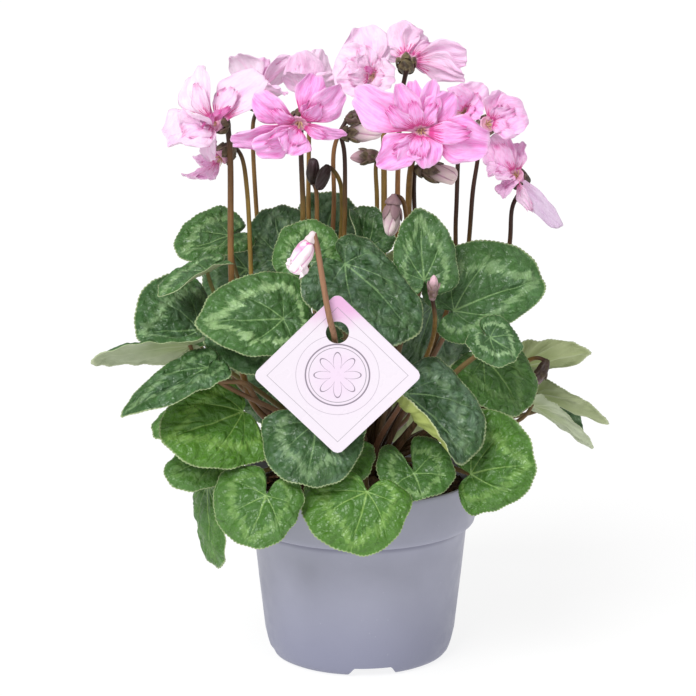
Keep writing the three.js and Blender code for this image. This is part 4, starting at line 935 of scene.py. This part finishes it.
# Angles past which an edge is sharp, in degrees
POT_CREASE, PEAT_CREASE, CARD_CREASE = 38, 50, 40


def cutter(name, rings, sides):
    """A plain closed mesh of two rings that a boolean cuts away."""
    mesh = bpy.data.meshes.new(name)
    mesh.from_pydata((np.asarray(rings) / 1000).tolist(), [], drum_faces(2, sides))
    return placed(name, mesh)


def cut_away(piece, tools):
    """Cuts the tools out of the piece and removes them."""
    for tool in tools:
        step = piece.modifiers.new(tool.name, "BOOLEAN")
        step.operation = "DIFFERENCE"
        step.solver = "EXACT"
        step.object = tool
    graph = bpy.context.evaluated_depsgraph_get()
    made = bpy.data.meshes.new_from_object(piece.evaluated_get(graph))
    piece.modifiers.clear()
    piece.data = made
    for tool in tools:
        bpy.data.objects.remove(tool)


def pot_piece(material):
    """The pot: thin wall, flared rim band, rounded foot with notches, drain holes."""
    h, r, bore = POT_HEIGHT, POT_RIM_RADIUS, POT_RIM_RADIUS - POT_WALL
    floor = FOOT_HEIGHT + POT_WALL
    under = [(3, FOOT_HEIGHT), (38.2, FOOT_HEIGHT), (38.6, FOOT_HEIGHT - 0.4)]
    outer = [(39, 0.15), (39.4, 0), (41.6, 0), (42.6, 0.15), (44.3, 1), (45.4, 2.4), (46.2, 4.4), (47.1, 7.6),
             (48.3, 13), (49.5, 24), (50.4, 32), (51.4, 41), (52.3, 50), (53.2, h - 35), (54.1, h - 25.4),
             (54.35, h - 25), (56.9, h - 24.3), (57.6, h - 24), (58, h - 23.4), (58.4, h - 21.6), (59.3, h - 17),
             (r - 0.1, h - 8), (r, h - 2), (r - 0.05, h - 0.9), (r - 0.35, h - 0.25), (r - 0.9, h)]
    inner = [(bore + 0.7, h), (bore + 0.15, h - 0.35), (bore, h - 1), (bore - 0.6, h - 17), (56.6, h - 20),
             (53.6, h - 23.6), (52.2, h - 25.4), (50.4, 45), (46.3, 13), (44.6, 8.6), (43, floor), (3, floor)]
    shape = Shape()
    shape.add(*upright_part([*under, *outer, *inner], POT_SIDES))
    made = shape.piece("pot_shell", [material], ["pot"], "pot_plastic")
    tools = []
    half = FOOT_NOTCH_WIDTH / 2
    top = FOOT_HEIGHT - 0.4
    outline = ((-half - 2.6, -2), (half + 2.6, -2), (half - 1.2, top - 0.6), (half - 2, top), (-half + 2, top),
               (-half + 1.2, top - 0.6))
    for i in range(FOOT_NOTCHES):
        angle = FIRST_NOTCH + i * 2 * math.pi / FOOT_NOTCHES
        c, s = math.cos(angle), math.sin(angle)
        block = [(x * c - y * s, x * s + y * c, z) for x in NOTCH_SPAN for y, z in outline]
        tools.append(cutter(f"notch_{i}", block, len(outline)))
        drain = [(DRAIN_REACH * c + DRAIN_RADIUS * math.cos(a), DRAIN_REACH * s + DRAIN_RADIUS * math.sin(a), z)
                 for z in (FOOT_HEIGHT - 3, FOOT_HEIGHT + 5) for a in bearings(DRAIN_SIDES)]
        tools.append(cutter(f"drain_{i}", drain, DRAIN_SIDES))
    cut_away(made, tools)
    made.data.polygons.foreach_set("use_smooth", [True] * len(made.data.polygons))
    made.data.set_sharp_from_angle(angle=math.radians(POT_CREASE))


def peat_piece(material, chip_material):
    """Peat with a crumbly top, loose crumbs and bark chips, round the tuber."""
    draw = np.random.default_rng(PEAT_SEED)
    shape = Shape("speck")
    bottom = FOOT_HEIGHT + POT_WALL + GAP
    rows = [(2, bottom), (42.4, bottom), (45.6, 13), (51.5, POT_HEIGHT - 25.4), (56.6, POT_HEIGHT - 17.5),
            (56.8, SOIL_TOP - 1)]
    rows += [(x, SOIL_TOP) for x in np.linspace(TUBER_RADIUS + 0.8, 56, PEAT_RINGS)[::-1]]
    rows += [(TUBER_RADIUS + 0.6, SOIL_TOP - 1), (TUBER_RADIUS + 0.5, SOIL_TOP - 3.2), (17, 76.5),
             (12.4, TUBER_BOTTOM - GAP), (2, TUBER_BOTTOM - GAP)]
    points, faces = upright_part(rows, PEAT_SIDES)
    x, y = points[:, 0], points[:, 1]
    on_top = (points[:, 2] > SOIL_TOP - 0.5) & (np.hypot(x, y) < 55.5)
    rough = np.zeros(len(points))
    for _ in range(PEAT_WAVES):
        scale = draw.uniform(0.12, 1.6)
        way = draw.uniform(0, 2 * math.pi)
        rough += 0.5 / (0.6 + scale) * np.sin(scale * (x * math.cos(way) + y * math.sin(way)) + draw.uniform(0, TURN))
    rough += draw.normal(0, 0.28, len(points))
    points[:, 2] += np.where(on_top, np.clip(rough * 0.75, -PEAT_ROUGHNESS, PEAT_ROUGHNESS), 0)
    shape.add(points, faces, speck=0.5)
    tris = [[0, 2, 4], [2, 1, 4], [1, 3, 4], [3, 0, 4], [2, 0, 5], [1, 2, 5], [3, 1, 5], [0, 3, 5]]
    for _ in range(CRUMBS):
        spin = draw.uniform(0, 2 * math.pi)
        away = math.sqrt(draw.uniform(*(reach**2 for reach in CRUMB_REACH)))
        spot = np.array([away * math.cos(spin), away * math.sin(spin), SOIL_TOP + draw.uniform(-0.4, 0.8)])
        chip = draw.uniform() < CHIP_SHARE
        size = draw.uniform(0.5, 1.3) * (1.5 if chip else 1)
        stretch = np.array([1.9, 0.7, 0.4] if chip else [1, 1, 1.0])
        corners = np.array([(1, 0, 0), (-1, 0, 0), (0, 1, 0), (0, -1, 0), (0, 0, 1), (0, 0, -1)], float)
        corners = corners * stretch * size * draw.uniform(0.6, 1.2, (6, 1))
        turn, tip = draw.uniform(0, TURN), draw.uniform(-0.5, 0.5)
        c, s = math.cos(turn), math.sin(turn)
        corners = corners @ np.array([[c, s, 0], [-s, c, 0], [0, 0, 1.0]])
        corners[:, 2] += corners[:, 0] * tip
        shape.add(spot + corners, tris, kind=int(chip), speck=draw.uniform(0, 1))
    shape.piece("peat_bed", [material, chip_material], ["soil"], "peat", PEAT_CREASE)


def card_edge_point(way, hole_at):
    """Where a line from the hole's centre leaves the rounded square."""
    half = LABEL_SIDE / 2
    inner = half - LABEL_CORNER
    spot = hole_at + min((half * np.sign(w) - h) / w for w, h in zip(way, hole_at) if abs(w) > 1e-9) * way
    if min(abs(spot)) <= inner:
        return spot
    away = hole_at - inner * np.sign(spot)
    b = away @ way
    return hole_at + (-b + math.sqrt(max(0, b * b - away @ away + LABEL_CORNER**2))) * way


def label_piece(material, edge_material):
    """A thin square card with rounded corners and a round hole, hung on one corner."""
    hole_at = np.array([LABEL_SIDE / 2 - LABEL_HOLE_INSET] * 2)
    count, steps = CARD_SIDES, CARD_STEPS
    ways = np.stack([np.cos(bearings(count)), np.sin(bearings(count))], 1)
    outline = np.array([card_edge_point(way, hole_at) for way in ways])
    hole = hole_at + LABEL_HOLE_RADIUS * ways
    flat = np.concatenate([hole + (outline - hole) * i / (steps - 1) for i in range(steps)])
    x = (flat[:, 0] - flat[:, 1]) * math.sqrt(0.5)
    y = (flat[:, 0] + flat[:, 1]) * math.sqrt(0.5)
    bow = CARD_BOW * (x**2 - CARD_FLAT)
    angle = math.pi / 2 - math.radians(LABEL_LEAN)
    shape = Shape("card_x", "card_y", "front")
    for sign in (1, -1):
        z = sign * (LABEL_THICKNESS / 2 - 0.1) + bow
        wy = y * math.cos(angle) - z * math.sin(angle)
        wz = y * math.sin(angle) + z * math.cos(angle)
        faces = grid_faces(steps, count, 0, wrap=True, flip=sign > 0)
        shape.add(np.stack([x, wy, wz], 1) + LABEL_CENTRE, faces, card_x=x, card_y=y, front=sign > 0)
    size = steps * count
    for row, way in ((steps - 1, 1), (0, -1)):
        for i in range(count):
            a, b = row * count + i, row * count + (i + 1) % count
            shape.faces.append([a, a + size, b + size, b][::way])
            shape.kinds.append(1)
    shape.piece("hanging_card", [material, edge_material], ["label"], "card", CARD_CREASE)


# Materials

def linear(code):
    """A colour code as linear values."""
    parts = [int(code[i:i + 2], 16) / 255 for i in (1, 3, 5)]
    return tuple(p / 12.92 if p <= 0.04045 else ((p + 0.055) / 1.055) ** 2.4 for p in parts)


class Wire:
    """A number or colour that a node gives. Arithmetic on it adds nodes."""

    def __init__(self, finish, socket):
        self.finish = finish
        self.socket = socket

    def math(self, operation, *others):
        """One step of arithmetic on it."""
        return self.finish.node("Math", (self, *others), operation=operation)

    def __mul__(self, other):
        return self.math("MULTIPLY", other)

    def __add__(self, other):
        return self.math("ADD", other)

    def __sub__(self, other):
        return self.math("SUBTRACT", other)

    def step(self, low, high, first=0, last=1):
        """first below low, last above high, smooth between."""
        return self.finish.node("MapRange", (self, low, high, first, last), interpolation_type="SMOOTHSTEP")


class Finish:
    """A material and short ways to add nodes to it."""

    def __init__(self, name, colour, roughness, **fixed):
        self.material = bpy.data.materials.new(name)
        self.material.use_nodes = True
        self.tree = self.material.node_tree
        self.shader = self.tree.nodes["Principled BSDF"]
        self.shader.inputs["Base Color"].default_value = (*linear(colour), 1)
        self.shader.inputs["Roughness"].default_value = roughness
        for label, value in fixed.items():
            self.shader.inputs[label.replace("_", " ")].default_value = value
        self.place = self.node("TexCoord", (), "Object")

    def node(self, kind, inputs, output=0, **settings):
        """Adds a node, sets or wires its inputs, by order or by name, and gives one output."""
        made = self.tree.nodes.new("ShaderNode" + kind)
        for label, value in settings.items():
            setattr(made, label, value)
        for index, value in inputs.items() if isinstance(inputs, dict) else enumerate(inputs):
            if isinstance(value, Wire):
                self.tree.links.new(value.socket, made.inputs[index])
            else:
                made.inputs[index].default_value = (*linear(value), 1) if isinstance(value, str) else value
        return Wire(self, made.outputs[output])

    def values(self, names):
        """Values stored on the mesh."""
        return [self.node("Attribute", (), "Fac", attribute_name=name) for name in names.split()]

    def noise(self, scale, detail=3, vector=None):
        """Noise with features of about 1/scale of a metre."""
        inputs = {"Scale": scale, "Detail": detail, "Roughness": 0.55, "Vector": vector or self.place}
        return self.node("TexNoise", inputs, "Fac")

    def cells(self, scale, feature="F1", vector=None):
        """Distance in a field of cells."""
        return self.node("TexVoronoi", {"Scale": scale, "Vector": vector or self.place}, "Distance", feature=feature)

    def warped(self, scale, amount):
        """Object places shifted by noise, so that cells don't look regular."""
        shift = self.node("TexNoise", {"Scale": scale, "Vector": self.place}, "Color")
        return self.node("VectorMath", (shift, (amount,) * 3, self.place), operation="MULTIPLY_ADD")

    def squeezed(self, *scale):
        """Object places squeezed along the axes."""
        return self.node("Mapping", {"Scale": scale, "Vector": self.place})

    def vector(self, *parts):
        """A place put together from numbers or wires."""
        return self.node("CombineXYZ", parts)

    def height(self):
        """The height above the floor, in metres."""
        return self.node("SeparateXYZ", (self.place,), 2)

    def mix(self, share, a, b):
        """Mixes two colours, given as codes or wires."""
        return self.node("Mix", {0: share, 6: a, 7: b}, 2, data_type="RGBA", clamp_factor=True)

    def paint(self, colour, *layers):
        """Gives the shader a colour under layers of a share and a colour each."""
        for share, over in layers:
            colour = self.mix(share, colour, over)
        self.tree.links.new(colour.socket, self.shader.inputs["Base Color"])

    def rough(self, roughness):
        """Gives the shader a roughness that varies."""
        self.tree.links.new(roughness.socket, self.shader.inputs["Roughness"])

    def bump(self, height, strength, distance):
        """Gives the shader a relief."""
        made = self.node("Bump", {"Strength": strength, "Distance": distance, "Height": height}, "Normal")
        self.tree.links.new(made.socket, self.shader.inputs["Normal"])


def leaf_upper():
    """Green with a feathered pale band, a greyer middle, thin pale veins and a cream edge; painted shade in the
    hollows between the puckers and a painted grey-blue sheen on the dusky blades.
    """
    f = Finish("leaf_upper", "#3d6b38", 0.38, Specular_IOR_Level=0.45)
    rad, zone, turn, vein, yellow, clear, dusk, pucker = f.values("rad zone turn vein yellow band dusk pucker")
    broad, mottle, fine = f.noise(60, 2), f.noise(230, 2), f.noise(1000)
    spread = f.noise(1, 3, f.vector(turn * 30, rad * 4, yellow)) * 0.42 - 0.21
    inner, outer = zone + spread, zone - spread
    middle = f.mix(yellow, f.mix(mottle.step(0.3, 0.7), "#35592f", "#466a40"), "#4a7a24")
    band = inner.step(-0.06, 0.02) * outer.step(0.08, 0.16, 1, 0)
    broken = fine.step(0.3, 0.6, 0.75, 1) * broad.step(0.32, 0.5, 0.7, 1)
    bent = f.warped(110, 0.006)
    puff = f.cells(150, "DISTANCE_TO_EDGE", bent).step(0, 0.35)
    net = f.cells(480, "DISTANCE_TO_EDGE", bent).step(0, 0.1, 1, 0)
    dust = f.cells(700).step(0.1, 0.2, 1, 0) * mottle.step(0.5, 0.6, 0, 0.4)
    f.paint(f.mix(broad.step(0.35, 0.65), "#35642a", "#4b7c36"),
            (yellow * 0.9, "#548322"),
            (dusk * 0.75, "#375534"),
            (mottle.step(0.42, 0.7, 0, 0.16), "#719b55"),
            (inner.step(-0.07, 0, 0.85, 0), middle),
            (band * broken * (clear * 0.95 + 0.05), f.mix(yellow, "#a4c691", "#96c158")),
            # Painted shade: darker green in the hollows between the puckers
            (puff.step(0, 0.8, 0.55, 0) * (pucker * 0.7 + 0.15), f.mix(yellow, "#203c1a", "#416d16")),
            (net * 0.1, "#7ba062"),
            # Painted sheen: grey-blue patches on the dusky blades
            (broad.step(0.42, 0.62) * (dusk * 0.25) * mottle.step(0.35, 0.6), "#86a094"),
            (vein.step(0.25, 0.7) * rad.step(0.15, 0.9, 0.7, 0.3), f.mix(yellow, "#8fb47a", "#98bd5e")),
            (dust * broad.step(0.5, 0.6), "#d9e2c8"),
            (rad.step(0.974, 0.996, 0, 0.75), "#b4c491"))
    f.rough(mottle.step(0.2, 0.8, 0.29, 0.44))
    f.bump(puff * (pucker * 1.1 + 0.2) + mottle * 0.6 + (net * -0.12 + fine * 0.05), 0.85, 0.0015)
    return f.material


def leaf_under():
    """Yellow-green to pale grey-green, with lighter veins."""
    f = Finish("leaf_under", "#a9b897", 0.55, Specular_IOR_Level=0.3)
    rad, vein, below = f.values("rad vein below")
    f.paint(f.mix(below, "#a5b163", "#c3ccb4"),
            (rad.step(0.1, 0.75, 0.5, 0), "#93a952"),
            (f.noise(90).step(0.35, 0.7, 0, 0.25), "#7f9154"),
            (vein.step(0.2, 0.8, 0, 0.5), "#cdd4b4"),
            (rad.step(0.95, 1, 0, 0.6), "#cbd2ae"))
    f.bump(f.noise(700), 0.3, 0.0004)
    return f.material


def petal_finish():
    """Pink petals: magenta streaks round the throat, deeper pink painted into the hollows of the folds as shade,
    paler towards the ends, and a faint painted pink glow in place of light shining through.
    """
    # Painted light: a faint pink glow that fills the petals' shade in place of light shining through them
    f = Finish("petals", "#ff9be6", 0.5, Specular_IOR_Level=0.2, Emission_Color=(1.0, 0.5, 0.85, 1),
               Emission_Strength=0.085)
    along, across, edge, valley, pale, deep = f.values("along across edge valley pale deep")
    streak = f.noise(2.2, 4, f.vector(across * 5.5, along * 1.8, pale))
    lines = (across * 11 + streak * 5).math("SINE").math("ABSOLUTE")
    veins = lines.step(0, 0.25, 1, 0) * along.step(0.15, 0.9, 0.4, 0.08)
    reach = (lines.step(0.1, 0.7, 1, 0) * 0.17 + 0.16 + (streak * 0.16 - 0.08)) * (deep * 0.45 + 1)
    f.paint(f.mix(streak.step(0.34, 0.6), "#f996de", "#fdb9f2"),
            (f.noise(110).step(0.42, 0.68, 0, 0.5), "#ffc6f8"),
            (along.step(0.12, 0.6, 0.75, 0), "#f56cb8"),
            (pale * along.step(0.05, 0.4, 0.35, 0.95), "#fbe8f7"),
            (edge.step(0, 0.2, 0.5, 0) * along.step(0.3, 0.6), "#ffe0f8"),
            # Painted shade: deeper pink in the hollows of the folds
            (valley.step(0.15, 0.8, 0, 0.68) * along.step(0.1, 0.95, 1, 0.4), f.mix(pale, "#ee62bc", "#f4b4de")),
            (veins, "#e676c4"),
            (along.step(0.06, 0.17, 0.8, 0), "#f4c6dc"),
            ((along - reach).step(-0.02, 0.05, 0.95, 0) * along.step(0.09, 0.15), "#dc3490"),
            (deep * (along.step(0.8, 0.97) * streak.step(0.4, 0.55)), "#dc44a2"),
            (deep - 1, "#e03c98"),
            (pale - 1, "#d3c2d8"))
    crinkle = f.noise(5, 4, f.vector(across * 4.5, along * 2.2, pale))
    f.bump(f.noise(800, 2) * 0.12 + (crinkle + (veins * -0.12 + streak * 0.7)), 0.6, 0.0013)
    return f.material


def bud_finish():
    """Cream-pink buds: dusky lines painted as shade in the folds, magenta near the top of the palest."""
    f = Finish("bud_petals", "#f6dde2", 0.5, Specular_IOR_Level=0.3)
    ridge, along, dusk = f.values("ridge along dusk")
    fresh = along.step(0.06, 0.5, 1, 0) * dusk.step(0, 0.2, 1, 0)
    # Painted shade: darker, duskier colour in the folds between the wound petals
    f.paint(f.mix(ridge.step(0.03, 0.4), f.mix(dusk, "#e7a8cf", "#8f7078"), f.mix(dusk, "#fff4f8", "#efd3ce")),
            (f.noise(260).step(0.42, 0.7) * 0.4, "#f3bcdf"),
            (fresh * f.noise(170, 2).step(0.42, 0.55), "#ec5cb4"),
            (dusk * along.step(0.1, 0.7, 1.6, 0.1), "#6d5a50"))
    f.bump(f.noise(900, 2), 0.25, 0.0003)
    return f.material


def stem_finish(name, low, low_other, high, high_other, change):
    """Glossy stems: lower colour to upper colour, each between two, with fine lengthwise mottling; painted shade near
    the crown and low down in the plant.
    """
    f = Finish(name, low, 0.42, Specular_IOR_Level=0.3)
    place, speck, dusk, mauve = f.values("place speck dusk mauve")
    stripes = f.noise(620, 3, f.squeezed(1, 1, 0.15))
    f.paint(f.mix((dusk * 0.45 + place).step(*change), f.mix(speck, low, low_other), f.mix(speck, high, high_other)),
            # Painted shade: darker near the crown, deep inside the plant
            (place.step(0.05, 0.42, 0.85, 0), "#3d2a1a"),
            # Painted shade: darker low down, under the foliage
            (f.height().step(0.09, 0.15, 0.5, 0), "#35231b"),
            (mauve * 0.7, "#9d7460"),
            (stripes.step(0.35, 0.7, 0, 0.35), high))
    f.rough(stripes.step(0.3, 0.7, 0.36, 0.5))
    f.bump(stripes + f.noise(1400, 2), 0.2, 0.0003)
    return f.material


def calyx_finish():
    """Dark olive to purple-brown sepals, streaked, with paler edges."""
    f = Finish("calyx", "#584838", 0.5, Specular_IOR_Level=0.35)
    ridge, place, dusk, mauve = f.values("ridge place dusk mauve")
    f.paint(f.mix(f.noise(420).step(0.35, 0.65), "#4a4030", "#857a56"),
            (dusk * 0.85, "#36231f"),
            (ridge.step(0.02, 0.3, 0.6, 0), f.mix(dusk, "#b5a48c", "#6e5450")),
            (place.step(0.4, 1, 0, 0.35) * f.noise(600, 2).step(0.4, 0.6), "#b09a8e"),
            (dusk.step(0.85, 1, 0, 0.85), "#26140f"),
            (dusk * -1, "#f2dfe2"),
            (mauve * 0.7, "#9d7d86"))
    f.bump(f.noise(900, 2), 0.3, 0.0003)
    return f.material


def dark_bud_finish():
    """Small closed buds: near-black to olive-brown, with grey streaks in the folds."""
    f = Finish("closed_bud", "#4a3530", 0.42, Specular_IOR_Level=0.5)
    ridge, place, dusk = f.values("ridge place dusk")
    f.paint(f.mix(f.noise(300).step(0.35, 0.65), "#5e4540", "#8d7568"),
            (ridge.step(0, 0.3, 0.5, 0), "#a99a90"),
            (place.step(0.4, 0.75), "#e0b8c4"),
            (dusk * 1.6 - 0.65, "#25130f"))
    f.bump(f.noise(900, 2), 0.25, 0.0003)
    return f.material


def pot_finish():
    """Matt grey-lavender moulded plastic with a few pale specks; painted shade darker towards the foot, and a painted
    shadow line under the rim band.
    """
    f = Finish("pot_plastic", "#9c9db0", 0.42, Specular_IOR_Level=0.4)
    height = f.height()
    f.paint(f.mix(f.noise(22, 4).step(0.3, 0.7), "#a0a1b3", "#a8a9bb"),
            # Painted shade: darker towards the foot
            (height.step(0, 0.06, 0.9, 0), "#82849a"),
            # Painted shadow: a dark line on the wall just under the rim band's lip
            (height.step(0.0655, 0.068, 0, 0.6) * height.step(0.0686, 0.069, 1, 0), "#6c6d80"),
            (f.cells(260).step(0.035, 0.075, 1, 0) * f.noise(60, 2).step(0.5, 0.62, 0, 0.5), "#d3d4de"))
    f.rough(f.noise(140, 4).step(0.3, 0.7, 0.36, 0.5))
    f.bump(f.noise(900) + f.noise(1600, 2, f.squeezed(0.12, 0.12, 1)), 0.12, 0.0003)
    return f.material


def peat_finish():
    """Dark damp peat."""
    f = Finish("peat", "#33241a", 0.95, Specular_IOR_Level=0.2)
    f.paint(f.mix(f.noise(260, 5).step(0.35, 0.65), "#1d130d", "#4a3424"),
            (f.noise(700).step(0.6, 0.72) * 0.6, "#7a5638"))
    f.bump(f.noise(900, 5), 0.9, 0.0012)
    return f.material


def card_finish():
    """Pale coated card: a pink wash to one corner, a fine star in two rings, a faint outer ring and a thin square
    border.
    """
    f = Finish("card_face", "#f7ecf5", 0.3, Specular_IOR_Level=0.45)
    x, y, front = f.values("card_x card_y front")
    radius = (x * x + y * y).math("SQRT")
    star = (y.math("ARCTAN2", x) * 4).math("COSINE").math("ABSOLUTE") * 7.5 + 3.5
    layers = [((y + f.noise(90) * 14).step(26, 42, 0, 0.7) * front, "#e39ad4")]
    for ring, width, ink in ((star, 0.3, "#5f5064"), (13.4, 0.16, "#6f6874"), (15, 0.34, "#5f5064"),
                             (19.5, 0.14, "#b3a8b6")):
        line = (radius - ring).math("ABSOLUTE").step(width * 0.7, width * 1.3, 0.8, 0)
        layers.append((line * front, ink))
    border = (x.math("ABSOLUTE") + y.math("ABSOLUTE") - 33).math("ABSOLUTE")
    layers.append((border.step(0.12, 0.26, 0.7, 0) * front, "#8b848f"))
    wash = (radius * -1 + f.noise(45) * 16).step(-14, 6, 0, 0.6)
    f.paint(f.mix(wash, "#e8dfe9", "#e7cce7"), *layers)
    f.rough(f.noise(70).step(0.3, 0.7, 0.24, 0.36))
    f.bump(f.noise(500, 2), 0.05, 0.0002)
    return f.material


def mottled(name, colour, roughness, spots, dark, light, grain=None):
    """A finish mottled by noise between two colours; spots: scale, detail and, if sharp, its steps; grain: a bump."""
    f = Finish(name, colour, roughness)
    share = f.noise(*spots[:2])
    f.paint(f.mix(share.step(*spots[2:]) if len(spots) > 2 else share, dark, light))
    if grain:
        f.bump(f.noise(*grain[:2]), *grain[2:])
    return f.material


def floor_finish():
    """Plain pale floor."""
    return Finish("floor", "#7c7c7c", 0.8, Specular_IOR_Level=0.0, Emission_Color=(1, 1, 1, 1),
                  Emission_Strength=0.84).material


# Making the pieces

leaf_rim = mottled("leaf_rim", "#a9b985", 0.6, (700, 2), "#809a62", "#c9d3aa", (1500, 2, 0.3, 0.0003))
blade_materials = [leaf_upper(), leaf_under(), leaf_rim]
for number, leaf in enumerate(LEAVES):
    leaf_piece(leaf, number, blade_materials)

cup = mottled("flower_cup", "#edb6d2", 0.6, (500, 3), "#e48fbe", "#f6d4e4", (900, 2, 0.3, 0.0003))
stamens = mottled("stamens", "#d8ba8c", 0.7, (1500, 2), "#c29a62", "#ecd8b0", (2500, 2, 0.4, 0.0002))
bloom_materials = [petal_finish(), cup, stamens]
for number, bloom in enumerate(BLOOMS, 1):
    bloom_piece(bloom, number, bloom_materials)
bud_material = bud_finish()
for bud in BUDS[:PINK_BUDS]:
    bud_piece(bud, [bud_material])

petiole = stem_finish("petioles", "#6d4a38", "#646030", "#8a6450", "#71743a", (0.2, 0.9))
stalk = stem_finish("stalks", "#a5754a", "#8f7836", "#35201a", "#452a1e", (0.55, 0.95))
tuber = mottled("tuber_bark", "#5c4432", 0.85, (180, 5, 0.35, 0.65), "#3e2c20", "#7a5e46", (420, 5, 0.7, 0.001))
stems_piece([petiole, stalk, tuber, calyx_finish(), dark_bud_finish()])
pot_piece(pot_finish())
bark = mottled("bark_chips", "#6b4630", 0.9, (420, 4, 0.35, 0.65), "#4b2c1c", "#8f6344", (1100, 3, 0.6, 0.0006))
peat_piece(peat_finish(), bark)
label_piece(card_finish(), mottled("card_edge", "#efe4ec", 0.5, (300, 2), "#e6d9e3", "#f6eef4"))

# Floor, light and camera

# Half side of the floor, and how far it lies below the foot, in metres
FLOOR_HALF = 6
FLOOR_DROP = 0.0004
SKY_STRENGTH = 0.44
SUN_STRENGTH = 2.5
SUN_ANGLE = math.radians(32)
SUN_WAY = (0.42, 0.75, -0.8)
SENSOR_WIDTH = 36

ground = bpy.data.meshes.new("floor")
corners = [(x * FLOOR_HALF, y * FLOOR_HALF, 0) for x, y in ((-1, -1), (1, -1), (1, 1), (-1, 1))]
ground.from_pydata(corners, [], [[0, 1, 2, 3]])
ground.materials.append(floor_finish())
floor_object = placed("floor", ground)
floor_object.location.z = -FLOOR_DROP

world = bpy.data.worlds.new("studio")
world.use_nodes = True
world.node_tree.nodes["Background"].inputs["Color"].default_value = (1, 1, 1, 1)
world.node_tree.nodes["Background"].inputs["Strength"].default_value = SKY_STRENGTH
bpy.context.scene.world = world

key = bpy.data.lights.new("key", "SUN")
key.energy = SUN_STRENGTH
key.angle = SUN_ANGLE
key_object = placed("key", key)
key_object.rotation_mode = "QUATERNION"
key_object.rotation_quaternion = Vector(SUN_WAY).to_track_quat("-Z", "Y")

lens = bpy.data.cameras.new("photo_view")
lens.sensor_width = SENSOR_WIDTH
lens.lens = SENSOR_WIDTH * FOCAL / PHOTO_SIDE
lens.clip_start = 0.05
lens.clip_end = 50
camera = placed("photo_view", lens)
camera.location = [x / 1000 for x in EYE]
camera.rotation_euler = (math.pi / 2 - PITCH, 0, 0)
bpy.context.scene.camera = camera
bpy.context.scene.view_settings.view_transform = "Standard"
